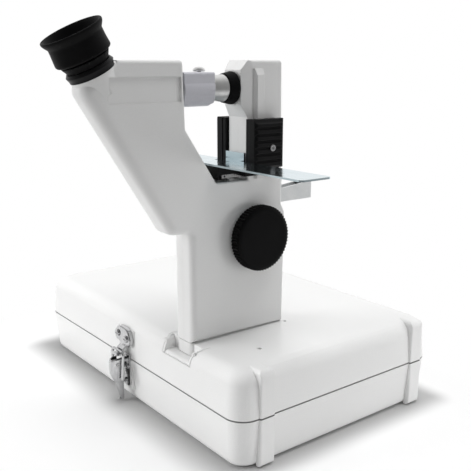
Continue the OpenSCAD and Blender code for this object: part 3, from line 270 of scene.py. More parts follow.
def buildBrushGroup(look):
    group, given, result = newGroup(
        "brushedMetal",
        [
            ("Colour", colourKind, (0.7, 0.7, 0.7, 1)),
            ("Dull Colour", colourKind, (0.5, 0.5, 0.5, 1)),
            ("Stretch X", floatKind, 60.0),
            ("Stretch Y", floatKind, 900.0),
            ("Stretch Z", floatKind, 900.0),
            ("Roughness", floatKind, 0.25),
            ("Roughness Spread", floatKind, 0.2),
            ("Spots", floatKind, 0.2),
        ],
        [("Colour", colourKind), ("Roughness", floatKind), ("Height", floatKind)],
    )
    place = addNode(group, "ShaderNodeTexCoord").outputs["Object"]
    stretch = addNode(
        group,
        "ShaderNodeCombineXYZ",
        {0: given["Stretch X"], 1: given["Stretch Y"], 2: given["Stretch Z"]},
    ).outputs[0]
    drawn = addNode(
        group, "ShaderNodeVectorMath", {0: place, 1: stretch}, operation="MULTIPLY"
    ).outputs[0]
    lines = noiseNode(group, drawn, look["lineScale"], look["lineDetail"])
    stain = noiseNode(
        group, place, look["stainScale"], look["stainDetail"], Roughness=look["stainRoughness"]
    )
    spots = mapRange(group, stain, look["spotFrom"], look["spotTo"], 0.0, 1.0)
    spots = mathNode(group, "MULTIPLY", spots, given["Spots"])
    lineShare = mapRange(group, lines, look["lineFrom"], look["lineTo"], 0.0, look["lineShare"])
    share = mathNode(group, "ADD", lineShare, spots, clamp=True)
    tone = mixColour(group, share, given["Colour"], given["Dull Colour"])
    group.links.new(tone, result["Colour"])
    rough = spreadRoughness(group, lines, given)
    rougher = mathNode(group, "MULTIPLY", spots, look["spotRoughness"])
    rough = mathNode(group, "ADD", rough, rougher, clamp=True)
    group.links.new(rough, result["Roughness"])
    group.links.new(lines, result["Height"])
    return group


# where a corner is worn and where a painted highlight lies along it, from 0 to 1, and the normal of
# its slightly broken edge
edgeLook = {
    "samples": 6, "detail": 4.0,
    "flat": 0.99, "corner": 0.86,       # how alike the softened and the true normal are
    "patchFrom": 0.42, "patchTo": 0.58, "patchLeast": 0.15,
}


def buildEdgeGroup(look):
    group, given, result = newGroup(
        "edgeWearAndHighlight",
        [("Radius", floatKind, 0.0005), ("Reach", floatKind, 0.3), ("Breakup", floatKind, 240.0)],
        [("Wear And Highlight", colourKind), ("Normal", "NodeSocketVector")],
    )
    soft = addNode(
        group, "ShaderNodeBevel", {"Radius": given["Radius"]}, samples=look["samples"]
    ).outputs[0]
    true = addNode(group, "ShaderNodeNewGeometry").outputs["Normal"]
    alike = addNode(
        group, "ShaderNodeVectorMath", {0: soft, 1: true}, operation="DOT_PRODUCT"
    ).outputs["Value"]
    place = addNode(group, "ShaderNodeTexCoord").outputs["Object"]
    cloud = noiseNode(group, place, given["Breakup"], look["detail"])
    patches = mapRange(group, cloud, look["patchFrom"], look["patchTo"], look["patchLeast"], 1.0)
    edge = mapRange(group, alike, look["flat"], look["corner"], 0.0, 1.0)
    wearAndHighlight = mathNode(group, "MULTIPLY", edge, patches)
    wearAndHighlight = mathNode(group, "MULTIPLY", wearAndHighlight, given["Reach"], clamp=True)
    group.links.new(wearAndHighlight, result["Wear And Highlight"])
    group.links.new(soft, result["Normal"])
    return group


skinGroup = buildSkinGroup(skinLook)
brushGroup = buildBrushGroup(brushLook)
edgeGroup = buildEdgeGroup(edgeLook)
print("shader groups built")


def newMaterial(name):
    material = bpy.data.materials.new(name)
    material.use_nodes = True
    tree = material.node_tree
    shader = tree.nodes["Principled BSDF"]
    return material, tree, shader


def setSockets(shader, values):
    for key, value in values.items():
        shader.inputs[key].default_value = value


def addBump(tree, shader, height, strength, distance, softEdge=None):
    values = {"Strength": strength, "Distance": distance, "Height": height}
    bump = addNode(tree, "ShaderNodeBump", values)
    if softEdge:
        tree.links.new(softEdge, bump.inputs["Normal"])
    tree.links.new(bump.outputs["Normal"], shader.inputs["Normal"])


# colours the corners: wear, and on the black rubber and black plastic a painted highlight
def addEdge(tree, colour, recipe):
    edge = addNode(tree, "ShaderNodeGroup", node_tree=edgeGroup)
    for key, value in recipe["edge"].items():
        edge.inputs[key].default_value = value
    return mixColour(tree, edge.outputs["Wear And Highlight"], colour, recipe["wearAndHighlightTo"]), edge.outputs["Normal"]


# painted shade along the parting line between lid and tray: a dark band at its height
def addSeamShade(tree, colour, seam):
    place = addNode(tree, "ShaderNodeTexCoord").outputs["Object"]
    height = addNode(tree, "ShaderNodeSeparateXYZ", {0: place}).outputs[2]
    away = mathNode(tree, "ABSOLUTE", mathNode(tree, "SUBTRACT", height, seam["height"]))
    share = mapRange(tree, away, seam["fullTo"], seam["noneFrom"], seam["share"], 0.0)
    return mixColour(tree, share, colour, seam["colour"])


def skinMaterial(name, recipe):
    material, tree, shader = newMaterial(name)
    skin = addNode(tree, "ShaderNodeGroup", node_tree=skinGroup)
    for key, value in recipe["skin"].items():
        skin.inputs[key].default_value = (*value, 1) if isinstance(value, tuple) else value
    colour, softEdge = skin.outputs["Colour"], None
    # painted shade in the parting line's groove
    if "seam" in recipe:
        colour = addSeamShade(tree, colour, recipe["seam"])
    if "edge" in recipe:
        colour, softEdge = addEdge(tree, colour, recipe)
    tree.links.new(colour, shader.inputs["Base Color"])
    tree.links.new(skin.outputs["Roughness"], shader.inputs["Roughness"])
    addBump(tree, shader, skin.outputs["Height"], recipe["bump"], recipe["deep"], softEdge)
    setSockets(shader, recipe.get("shader", {}))
    return material


def metalMaterial(name, recipe):
    material, tree, shader = newMaterial(name)
    brush = addNode(tree, "ShaderNodeGroup", node_tree=brushGroup)
    for key, value in recipe["brush"].items():
        brush.inputs[key].default_value = (*value, 1) if isinstance(value, tuple) else value
    colour, softEdge = brush.outputs["Colour"], None
    if "edge" in recipe:
        colour, softEdge = addEdge(tree, colour, recipe)
    tree.links.new(colour, shader.inputs["Base Color"])
    tree.links.new(brush.outputs["Roughness"], shader.inputs["Roughness"])
    addBump(tree, shader, brush.outputs["Height"], recipe["bump"], recipe["deep"], softEdge)
    setSockets(shader, {"Metallic": 1.0, **recipe.get("shader", {})})
    return material


# moulded disc with fine rings turned round its own axis
def discMaterial(name, recipe):
    material = skinMaterial(name, recipe)
    tree = material.node_tree
    shader = tree.nodes["Principled BSDF"]
    place = addNode(tree, "ShaderNodeTexCoord").outputs["Object"]
    fromAxis = addNode(
        tree, "ShaderNodeVectorMath", {0: place, 1: recipe["centre"]}, operation="SUBTRACT"
    ).outputs[0]
    flat = addNode(
        tree, "ShaderNodeVectorMath", {0: fromAxis, 1: recipe["plane"]}, operation="MULTIPLY"
    ).outputs[0]
    radius = addNode(tree, "ShaderNodeVectorMath", {0: flat}, operation="LENGTH").outputs["Value"]
    rings = addNode(
        tree,
        "ShaderNodeTexNoise",
        {
            "W": mathNode(tree, "MULTIPLY", radius, recipe["ringsPerMetre"]),
            "Scale": 1.0,
            "Detail": recipe["ringDetail"],
        },
        noise_dimensions="1D",
    ).outputs["Fac"]
    grain = next(node for node in tree.nodes if node.type == "GROUP").outputs["Height"]
    height = mathNode(tree, "ADD", mathNode(tree, "MULTIPLY", rings, recipe["ringHeight"]), grain)
    bump = next(node for node in tree.nodes if node.type == "BUMP")
    tree.links.new(height, bump.inputs["Height"])
    middle, aside = recipe["skin"]["Roughness"], recipe["ringRoughness"]
    rough = mapRange(tree, rings, noiseLow, noiseHigh, middle - aside, middle + aside)
    tree.links.new(rough, shader.inputs["Roughness"])
    return material


def glassMaterial(name, recipe):
    material, tree, shader = newMaterial(name)
    place = addNode(tree, "ShaderNodeTexCoord").outputs["Object"]
    smear = noiseNode(tree, place, recipe["smearScale"], recipe["smearDetail"])
    rough = mapRange(
        tree, smear, recipe["smearFrom"], recipe["smearTo"], recipe["clean"], recipe["smeared"]
    )
    tree.links.new(rough, shader.inputs["Roughness"])
    tint = mixColour(tree, smear, recipe["colour"], recipe["edge"])
    tree.links.new(tint, shader.inputs["Base Color"])
    setSockets(shader, recipe["shader"])
    return material


finishes = {
    "caseShell": skinMaterial("caseShell", {
        "skin": {
            "Colour": (0.845, 0.845, 0.84), "Worn Colour": (0.825, 0.825, 0.82),
            "Cloud Size": 7.0, "Grain Size": 2200.0, "Roughness": 0.30, "Roughness Spread": 0.12,
            "Grain Height": 0.35, "Scratches": 0.12,
        },
        "bump": 0.08, "deep": 0.0001,
        "shader": {"Coat Weight": 0.2, "Coat Roughness": 0.18},
        "edge": {"Radius": 0.0006, "Reach": 0.10, "Breakup": 160.0}, "wearAndHighlightTo": (0.70, 0.70, 0.69),
        "seam": {    # height of the parting line, and how far above and below it the painted shade goes
            "height": 0.034, "fullTo": 0.00049, "noneFrom": 0.0007, "share": 0.7,
            "colour": (0.14, 0.14, 0.14),
        },
    }),
    "bodyPaint": skinMaterial("bodyPaint", {
        "skin": {
            "Colour": (0.79, 0.79, 0.785), "Worn Colour": (0.77, 0.77, 0.765),
            "Cloud Size": 10.0, "Grain Size": 2600.0, "Roughness": 0.42,
            "Roughness Spread": 0.12, "Grain Height": 0.5, "Scratches": 0.1,
        },
        "bump": 0.12, "deep": 0.0001,
        "edge": {"Radius": 0.0006, "Reach": 0.15, "Breakup": 180.0}, "wearAndHighlightTo": (0.66, 0.66, 0.65),
    }),
    "greyPaint": skinMaterial("greyPaint", {
        "skin": {
            "Colour": (0.61, 0.61, 0.655), "Worn Colour": (0.56, 0.56, 0.605),
            "Cloud Size": 30.0, "Grain Size": 1300.0, "Roughness": 0.45,
            "Roughness Spread": 0.15, "Grain Height": 0.6, "Scratches": 0.15,
        },
        "bump": 0.12, "deep": 0.0003,
        "edge": {"Radius": 0.0004, "Reach": 0.4, "Breakup": 300.0}, "wearAndHighlightTo": (0.75, 0.75, 0.77),
    }),
    "greySheet": skinMaterial("greySheet", {
        "skin": {
            "Colour": (0.78, 0.79, 0.79), "Worn Colour": (0.66, 0.68, 0.69), "Cloud Size": 60.0,
            "Grain Size": 1500.0, "Roughness": 0.42, "Roughness Spread": 0.15,
            "Grain Height": 0.5, "Scratches": 0.3,
        },
        "bump": 0.12, "deep": 0.0003,
    }),
    "blackRubber": skinMaterial("blackRubber", {
        "skin": {
            "Colour": (0.0022, 0.0022, 0.0024), "Worn Colour": (0.0055, 0.0055, 0.0058),
            "Cloud Size": 40.0, "Grain Size": 1800.0, "Roughness": 0.55, "Roughness Spread": 0.3,
            "Grain Height": 1.0, "Scratches": 0.2,
        },
        "bump": 0.25, "deep": 0.0002,
        "shader": {"Specular IOR Level": 0.09},
        # painted highlight along the rubber's rims and edges
        "edge": {"Radius": 0.0010, "Reach": 0.9, "Breakup": 300.0}, "wearAndHighlightTo": (0.055, 0.055, 0.055),
    }),
    "blackPlastic": skinMaterial("blackPlastic", {
        "skin": {
            "Colour": (0.0038, 0.0038, 0.0041), "Worn Colour": (0.008, 0.008, 0.0085),
            "Cloud Size": 60.0, "Grain Size": 2400.0, "Roughness": 0.48, "Roughness Spread": 0.2,
            "Grain Height": 1.0, "Scratches": 0.3,
        },
        "bump": 0.35, "deep": 0.0002,
        "shader": {"Specular IOR Level": 0.14},
        # painted highlight along the black plastic's edges
        "edge": {"Radius": 0.0004, "Reach": 0.8, "Breakup": 400.0}, "wearAndHighlightTo": (0.035, 0.035, 0.036),
    }),
    "knobPlastic": discMaterial("knobPlastic", {
        "skin": {
            "Colour": (0.0030, 0.0030, 0.0032), "Worn Colour": (0.0052, 0.0052, 0.0055),
            "Cloud Size": 40.0, "Grain Size": 2400.0, "Roughness": 0.5, "Roughness Spread": 0.15,
            "Grain Height": 0.6, "Scratches": 0.15,
        },
        "bump": 0.3, "deep": 0.0002, "centre": (0.0665, -0.0305, 0.133), "plane": (0.0, 1.0, 1.0),
        "ringsPerMetre": 1800.0, "ringDetail": 3.0, "ringHeight": 0.8, "ringRoughness": 0.1,
        "shader": {"Specular IOR Level": 0.07},
    }),
    "blackAnodised": skinMaterial("blackAnodised", {
        "skin": {
            "Colour": (0.005, 0.005, 0.0055), "Worn Colour": (0.010, 0.010, 0.0105),
            "Cloud Size": 50.0, "Grain Size": 3000.0, "Roughness": 0.38, "Roughness Spread": 0.2,
            "Grain Height": 0.6, "Scratches": 0.4,
        },
        "bump": 0.2, "deep": 0.0001,
        "shader": {"Metallic": 0.2, "Specular IOR Level": 0.15},
    }),
    "handlePlastic": skinMaterial("handlePlastic", {
        "skin": {
            "Colour": (0.11, 0.11, 0.115), "Worn Colour": (0.16, 0.16, 0.165),
            "Cloud Size": 30.0, "Grain Size": 1600.0, "Roughness": 0.5, "Roughness Spread": 0.2,
            "Grain Height": 0.8, "Scratches": 0.5,
        },
        "bump": 0.25, "deep": 0.0003,
    }),
    "cellWrap": skinMaterial("cellWrap", {
        "skin": {
            "Colour": (0.05, 0.08, 0.13), "Worn Colour": (0.08, 0.11, 0.16), "Cloud Size": 40.0,
            "Grain Size": 900.0, "Roughness": 0.3, "Roughness Spread": 0.1, "Grain Height": 0.3,
            "Scratches": 0.3,
        },
        "bump": 0.1, "deep": 0.0002,
    }),
    "boardLacquer": skinMaterial("boardLacquer", {
        "skin": {
            "Colour": (0.02, 0.12, 0.05), "Worn Colour": (0.03, 0.16, 0.07), "Cloud Size": 80.0,
            "Grain Size": 1200.0, "Roughness": 0.35, "Roughness Spread": 0.2,
            "Grain Height": 0.5, "Scratches": 0.1,
        },
        "bump": 0.1, "deep": 0.0002,
    }),
    "lampResin": skinMaterial("lampResin", {
        "skin": {
            "Colour": (0.85, 0.84, 0.76), "Worn Colour": (0.8, 0.78, 0.7), "Cloud Size": 90.0,
            "Grain Size": 1500.0, "Roughness": 0.18, "Roughness Spread": 0.1,
            "Grain Height": 0.2, "Scratches": 0.0,
        },
        "bump": 0.05, "deep": 0.0001,
    }),
    "nickel": metalMaterial("nickel", {
        "brush": {
            "Colour": (0.62, 0.62, 0.625), "Dull Colour": (0.36, 0.36, 0.37), "Stretch X": 260.0,
            "Stretch Y": 260.0, "Stretch Z": 60.0, "Roughness": 0.18, "Roughness Spread": 0.14,
            "Spots": 0.4,
        },
        "bump": 0.05, "deep": 0.0002,
        "edge": {"Radius": 0.0003, "Reach": 0.5, "Breakup": 600.0}, "wearAndHighlightTo": (0.86, 0.86, 0.865),
    }),
    # painted shade: the inside of the bent lever sheet is shown dark where its hollow is shaded
    "latchInsideShade": metalMaterial("latchInsideShade", {
        "brush": {
            "Colour": (0.10, 0.098, 0.094), "Dull Colour": (0.035, 0.034, 0.032),
            "Stretch X": 120.0, "Stretch Y": 120.0, "Stretch Z": 60.0, "Roughness": 0.45,
            "Roughness Spread": 0.2, "Spots": 0.6,
        },
        "bump": 0.08, "deep": 0.0002,
    }),
    "satinTurned": metalMaterial("satinTurned", {
        "brush": {
            "Colour": (0.80, 0.80, 0.79), "Dull Colour": (0.62, 0.62, 0.62), "Stretch X": 30.0,
            "Stretch Y": 1400.0, "Stretch Z": 30.0, "Roughness": 0.40, "Roughness Spread": 0.12,
            "Spots": 0.1,
        },
        "bump": 0.06, "deep": 0.0001,
        "edge": {"Radius": 0.0003, "Reach": 0.4, "Breakup": 500.0}, "wearAndHighlightTo": (0.86, 0.86, 0.85),
    }),
    "steel": metalMaterial("steel", {
        "brush": {
            "Colour": (0.62, 0.62, 0.62), "Dull Colour": (0.42, 0.42, 0.43), "Stretch X": 400.0,
            "Stretch Y": 90.0, "Stretch Z": 400.0, "Roughness": 0.28, "Roughness Spread": 0.2,
            "Spots": 0.2,
        },
        "bump": 0.08, "deep": 0.0002,
    }),
    "zincSheet": metalMaterial("zincSheet", {
        "brush": {
            "Colour": (0.66, 0.76, 0.80), "Dull Colour": (0.52, 0.63, 0.67), "Stretch X": 30.0,
            "Stretch Y": 700.0, "Stretch Z": 700.0, "Roughness": 0.16, "Roughness Spread": 0.12,
            "Spots": 0.3,
        },
        "bump": 0.05, "deep": 0.0002,
    }),
    "brass": metalMaterial("brass", {
        "brush": {
            "Colour": (0.72, 0.50, 0.20), "Dull Colour": (0.50, 0.34, 0.14), "Stretch X": 500.0,
            "Stretch Y": 500.0, "Stretch Z": 500.0, "Roughness": 0.3, "Roughness Spread": 0.2,
            "Spots": 0.3,
        },
        "bump": 0.1, "deep": 0.0002,
    }),
    "mirrorCoat": metalMaterial("mirrorCoat", {
        "brush": {
            "Colour": (0.86, 0.88, 0.90), "Dull Colour": (0.80, 0.82, 0.85), "Stretch X": 200.0,
            "Stretch Y": 200.0, "Stretch Z": 200.0, "Roughness": 0.03, "Roughness Spread": 0.02,
            "Spots": 0.02,
        },
        "bump": 0.01, "deep": 0.0001,
    }),
    "coatedGlass": glassMaterial("coatedGlass", {
        "colour": (0.93, 0.97, 0.98), "edge": (0.80, 0.90, 0.95), "clean": 0.02, "smeared": 0.12,
        "smearScale": 160.0, "smearDetail": 5.0, "smearFrom": 0.45, "smearTo": 0.8,
        "shader": {
            "Transmission Weight": 1.0, "IOR": 1.52, "Coat Weight": 0.6, "Coat Roughness": 0.03,
            "Coat Tint": (0.75, 0.65, 0.95, 1),
        },
    }),
}

nodeFinish = {
    "caseShell": ["case_tray", "case_lid"],
    "bodyPaint": ["body_shell_right", "body_shell_left", "column_foot"],
    "greyPaint": ["lens_block"],
    "greySheet": ["rear_bracket"],
    "blackRubber": ["eyecup", "presser_ring", "dioptre_ring"],
    "blackPlastic": [
        "head_mirror_seat", "column_mirror_seat", "lens_stop", "battery_holder",
        "switch_button", "switch_body", "table_carriage", "grip_right", "grip_left",
    ],
    "knobPlastic": ["power_knob"],
    "satinTurned": ["presser_tube", "presser_knob"],
    "blackAnodised": [
        "eyepiece_mount", "eyepiece_barrel", "eye_lens_cell", "beam_tube", "rod_plate",
        "target_carrier", "bracket_screw",
    ],
    "handlePlastic": ["carry_handle"],
    "cellWrap": ["battery_cells"],
    "boardLacquer": ["lamp_board"],
    "lampResin": ["led_lamp"],
    "nickel": [
        "hinge_leaf_lower", "hinge_leaf_upper", "latch_strike", "latch_base", "latch_screws",
        "case_screws", "latch_lever", "latch_bail", "handle_brackets", "grip_screws",
    ],
    "steel": [
        "hinge_pins", "latch_pin", "shell_screws", "presser_spring", "power_shaft",
        "guide_rods", "friction_strip", "carriage_strap",
    ],
    "zincSheet": ["lens_table"],
    "brass": ["shaft_bush"],
    "mirrorCoat": ["head_mirror", "column_mirror"],
    "coatedGlass": ["eye_lens", "graticule", "objective_lens", "collimator_lens", "target_plate"],
}

for finish, names in nodeFinish.items():
    for name in names:
        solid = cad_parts[name]
        solid.data.materials.clear()
        solid.data.materials.append(finishes[finish])
print("finishes placed on", sum(map(len, nodeFinish.values())), "of", len(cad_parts), "solids")


# pieces made here for the soft, wound and bent solids: first, a closed profile swung round an axis
def turnedPiece(name, pieceSet):
    turn = Vector(pieceSet["axis"]).normalized().to_track_quat("Z", "Y").to_matrix()
    origin = Vector(pieceSet["origin"]) * mm
    steps, wave = pieceSet["steps"], pieceSet["wave"]
    builder = bmesh.new()
    rings = []
    for radius, along in pieceSet["wall"]:
        ring = []
        for step in range(steps):
            angle = 2 * math.pi * step / steps
            beat = math.sin(wave["count"] * angle + wave["twist"] * along)
            swell = radius * (1 + wave["share"] * beat)
            spot = Vector((swell * math.cos(angle), swell * math.sin(angle), along)) * mm
            ring.append(builder.verts.new(origin + turn @ spot))
        rings.append(ring)
    for index, ring in enumerate(rings):
        after = rings[(index + 1) % len(rings)]
        for step in range(steps):
            follow = (step + 1) % steps
            builder.faces.new((ring[step], ring[follow], after[follow], after[step]))
    bmesh.ops.recalc_face_normals(builder, faces=builder.faces)
    return finishPiece(name, builder)


def finishPiece(name, builder):
    mesh = bpy.data.meshes.new(name)
    builder.to_mesh(mesh)
    builder.free()
    mesh.polygons.foreach_set("use_smooth", [True] * len(mesh.polygons))
    piece = bpy.data.objects.new(name, mesh)
    bpy.context.scene.collection.objects.link(piece)
    return piece


def rubberPiece(name, pieceSet):
    piece = turnedPiece(name, pieceSet)
    soft = piece.modifiers.new("softForm", "SUBSURF")
    soft.levels = soft.render_levels = pieceSet["softLevels"]
    piece.data.materials.append(finishes["blackRubber"])
    return piece


eyecupSet = {
    "origin": (66.5, -155.4, 267.7),       # middle of the rim, mm
    "axis": (0.0, -0.455545, 0.890213),    # out towards the eye
    "steps": 56, "softLevels": 2,
    "wave": {"share": 0.005, "count": 3, "twist": 0.4},   # handled rubber isn't quite round
    # radius and height over the rim plane, once round the rubber wall, mm
    "wall": [
        (17.5, -0.45), (18.0, -0.12), (18.55, -0.02), (18.95, -0.45), (19.0, -1.1), (18.8, -1.9),
        (18.3, -2.9), (17.5, -4.1), (16.95, -4.9), (16.75, -5.4), (16.75, -6.2), (16.85, -9.0),
        (17.05, -12.0), (17.25, -14.6), (17.3, -15.2), (17.15, -15.75), (16.75, -16.3),
        (16.2, -16.4), (14.5, -16.3), (12.4, -16.15), (12.07, -16.05), (12.05, -15.7),
        (12.05, -12.8), (12.05, -9.6), (12.04, -9.25), (11.8, -9.2), (10.8, -9.2),
        (10.45, -9.15), (10.4, -8.95), (10.4, -8.45), (10.5, -8.2), (11.2, -7.95), (13.3, -7.25),
        (14.3, -6.1), (15.2, -4.6), (16.0, -2.9), (16.8, -1.4),
    ],
}


def makeEyecup(eyecupSet):
    cup = rubberPiece("rubberEyecup", eyecupSet)
    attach(cup, "eye_ring")
    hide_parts("eyecup")


presserRingSet = {
    "origin": (66.5, 0.0, 233.6), "axis": (0.0, 1.0, 0.0),
    "steps": 44, "softLevels": 2,
    "wave": {"share": 0.0, "count": 0, "twist": 0.0},
    # radius and place along Y, once round the rubber ring, mm
    "wall": [
        (6.85, -49.6), (7.0, -49.85), (7.6, -49.9), (8.9, -49.88), (9.3, -49.75), (9.6, -49.3),
        (9.8, -48.2), (10.05, -46.9), (10.4, -45.4), (10.72, -44.1), (10.88, -43.2),
        (10.85, -42.65), (10.55, -42.2), (10.0, -42.02), (9.2, -42.0), (7.7, -42.02),
        (7.4, -42.15), (6.95, -42.8), (6.82, -43.2), (6.8, -44.6), (6.8, -47.0),
    ],
}


def makePresserRing(presserRingSet):
    ring = rubberPiece("rubberPresserRing", presserRingSet)
    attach(ring, "lens_holder")
    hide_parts("presser_ring")


springSet = {
    "centre": (66.5, 233.6),        # x and z of its axis, mm
    "from": -100.45, "to": -83.55,  # y of the wire's centre at its two ends
    "radius": 6.6, "wire": 0.45,    # of the coil, and of the wire itself
    "turns": 7.0, "endTurns": 0.9,  # in all, and wound close at each end
    "closePitch": 1.06,             # of the wire's thickness, in the close turns
    "steps": 30, "sides": 10,       # steps in one turn, sides of the wire
    "anchor": -0.1009,              # y in metres of the end that stays when it shortens
    "keep": 0.62,                   # of its length, with the holder pulled back
}


def makeSpring(springSet):
    (centreX, centreZ), start = springSet["centre"], springSet["from"]
    wire, radius, turns = springSet["wire"], springSet["radius"], springSet["turns"]
    closeTurns, steps, sides = springSet["endTurns"], springSet["steps"], springSet["sides"]
    length = springSet["to"] - start
    closeRise = closeTurns * 2 * wire * springSet["closePitch"]
    freeRise = length - 2 * closeRise
    count = int(turns * steps)
    spots = []
    for index in range(count + 1):
        turn = index / steps
        if turn < closeTurns:
            rise = closeRise * turn / closeTurns
        elif turn > turns - closeTurns:
            rise = length - closeRise * (turns - turn) / closeTurns
        else:
            rise = closeRise + freeRise * (turn - closeTurns) / (turns - 2 * closeTurns)
        angle = 2 * math.pi * turn
        x, z = centreX + radius * math.cos(angle), centreZ + radius * math.sin(angle)
        spots.append(Vector((x, start + rise, z)))
    builder = bmesh.new()
    rings = []
    for index, spot in enumerate(spots):
        ahead = spots[min(index + 1, count)] - spots[max(index - 1, 0)]
        outward = (spot - Vector((centreX, spot.y, centreZ))).normalized()
        across = ahead.cross(outward).normalized()
        outward = across.cross(ahead).normalized()
        ring = []
        for side in range(sides):
            angle = 2 * math.pi * side / sides
            aside = (outward * math.cos(angle) + across * math.sin(angle)) * wire
            ring.append(builder.verts.new((spot + aside) * mm))
        rings.append(ring)
    for first, second in zip(rings, rings[1:]):
        for side in range(sides):
            follow = (side + 1) % sides
            builder.faces.new((first[side], first[follow], second[follow], second[side]))
    builder.faces.new(rings[0])
    builder.faces.new(rings[-1])
    bmesh.ops.recalc_face_normals(builder, faces=builder.faces)
    spring = finishPiece("coilSpring", builder)
    spring.data.materials.append(finishes["steel"])
    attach(spring, "instrument")
    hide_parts("presser_spring")
    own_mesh(spring)


leverSet = {
    "sheet": 0.8,    # its thickness, mm
    # height, half width, where the round back starts, its depth, how far the cheeks reach, mm
    "sections": [
        (1.30, 1.5, -98.5, 1.4, -98.4), (1.05, 1.9, -97.3, 1.9, -97.2),
        (1.9, 2.2, -96.1, 2.2, -96.0), (7.5, 3.0, -96.4, 3.2, -96.3),
        (13.5, 3.9, -96.9, 4.6, -96.8), (16.0, 4.3, -97.1, 5.3, -96.8),
        (18.0, 4.7, -97.4, 6.0, -96.6), (22.0, 5.15, -97.8, 7.4, -96.0),
        (27.0, 5.35, -97.8, 8.2, -96.7), (31.5, 5.35, -97.8, 8.2, -97.5),
        (34.3, 5.2, -97.8, 7.7, -97.7),
    ],
    "between": 4, "arcSteps": 20,
    "holes": [(-101.5, 31.0, 1.27), (-100.0, 20.4, 0.85)],   # y, z and radius of the two pivots
    "drillSides": 24, "drillLength": 30.0,
}


# a smooth curve through the sections, with steps between each two
def alongSections(sections, between):
    rows = []
    last = len(sections) - 1
    for index in range(last):
        before, here = sections[max(index - 1, 0)], sections[index]
        after, beyond = sections[index + 1], sections[min(index + 2, last)]
        for step in range(between):
            t = step / between
            rows.append([
                (
                    2 * b
                    + (c - a) * t
                    + (2 * a - 5 * b + 4 * c - d) * t ** 2
                    + (3 * b - a - 3 * c + d) * t ** 3
                ) / 2
                for a, b, c, d in zip(before, here, after, beyond)
            ])
    return rows + [list(sections[last])]


def drill(piece, leverSet):
    cutters = []
    for y, z, radius in leverSet["holes"]:
        mesh = bpy.data.meshes.new("drill")
        builder = bmesh.new()
        place = Matrix.Translation((0, y * mm, z * mm)) @ Matrix.Rotation(math.pi / 2, 4, "Y")
        bmesh.ops.create_cone(
            builder, cap_ends=True, segments=leverSet["drillSides"], radius1=radius * mm,
            radius2=radius * mm, depth=leverSet["drillLength"] * mm, matrix=place,
        )
        builder.to_mesh(mesh)
        builder.free()
        cutter = bpy.data.objects.new("drill", mesh)
        bpy.context.scene.collection.objects.link(cutter)
        cut = piece.modifiers.new("drill", "BOOLEAN")
        cut.operation, cut.object = "DIFFERENCE", cutter
        cutters.append(cutter)
    shaped = piece.evaluated_get(bpy.context.evaluated_depsgraph_get())
    drilled = bpy.data.meshes.new_from_object(shaped)
    piece.modifiers.clear()
    piece.data = drilled
    for cutter in cutters:
        bpy.data.objects.remove(cutter)


# one side of the bent sheet at a height: down a cheek, round the back, up the other cheek
def leverWall(half, start, depth, reach, arcSteps):
    middle = (reach + start) / 2
    wall = [(-half, reach), (-half, middle)]
    for step in range(arcSteps + 1):
        angle = math.pi * step / arcSteps
        wall.append((-half * math.cos(angle), start - depth * math.sin(angle)))
    return wall + [(half, middle), (half, reach)]


def makeLever(leverSet):
    builder = bmesh.new()
    sheet, arcSteps = leverSet["sheet"], leverSet["arcSteps"]
    rings = []
    sections = alongSections(leverSet["sections"], leverSet["between"])
    for height, half, start, depth, reach in sections:
        outside = leverWall(half, start, depth, reach, arcSteps)
        inside = leverWall(half - sheet, start, depth - sheet, reach, arcSteps)
        ring = outside + inside[::-1]
        rings.append([builder.verts.new((x * mm, y * mm, height * mm)) for x, y in ring])
    count = len(rings[0])
    for first, second in zip(rings, rings[1:]):
        for index in range(count):
            follow = (index + 1) % count
            face = builder.faces.new((first[index], first[follow], second[follow], second[index]))
            # the inner faces take the painted shade of the hollow
            face.material_index = 1 if count // 2 <= index < count - 1 else 0
    for ring in (rings[0], rings[-1]):
        for index in range(count // 2 - 1):
            across = count - 1 - index
            builder.faces.new((ring[index], ring[index + 1], ring[across - 1], ring[across]))
    bmesh.ops.recalc_face_normals(builder, faces=builder.faces)
    lever = finishPiece("latchLeverSheet", builder)
    lever.data.materials.append(finishes["nickel"])
    lever.data.materials.append(finishes["latchInsideShade"])
    drill(lever, leverSet)
    smoothSolid(lever)
    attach(lever, "latch_arm")
    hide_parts("latch_lever")


makeEyecup(eyecupSet)
makePresserRing(presserRingSet)
makeSpring(springSet)
print("rubber pieces and spring made")
makeLever(leverSet)
print("latch lever bent and drilled")


# studio: pale floor with painted shade round the case, soft lamps
studio = {
    "floorSize": 0.95, "floorCells": 4, "floorDrop": 0.0002,
    "floorColour": (0.84, 0.84, 0.84),
    "floorNearShade": (0.52, 0.52, 0.52),    # painted shade: the floor's darker tone in the camera's eye, close to the case
    "floorFar": (0.93, 0.93, 0.93),     # and away from it
    "caseHalf": (0.139, 0.092),         # half the case's width and depth
    "paintedShadeReach": (0.022, 0.030, 0.02),  # how far the painted shade goes beside, before, behind the case
    "farReach": (0.09, 0.13, 0.06),     # where the floor has become plain white
    "ambientLow": 0.12, "ambientHigh": 0.30,    # light from the level of the floor, and from above
    "ambientFrom": -0.05, "ambientTo": 0.2,     # heights between which it changes
    "backdrop": (-0.792, 0.610, 0.0),           # the way from the camera to the backdrop
    "gleamFront": 0.22, "gleamBack": 1.0,       # brightness in gloss, camera's side and backdrop
    "gleamFrom": -0.3, "gleamTo": 0.5,          # how far towards the backdrop it changes
    "lamps": [
        # name, direction from the aim, distance, width, watts
        ("keySoftbox", (-0.56, -0.80, 0.22), 2.0, 1.4, 26.0),
        ("topSoftbox", (0.10, 0.14, 0.98), 2.0, 1.7, 33.0),
        ("sideCard", (0.81, 0.57, -0.09), 0.50, 0.22, 0.48),
    ],
    "aim": (0.03, 0.0, 0.12),
}


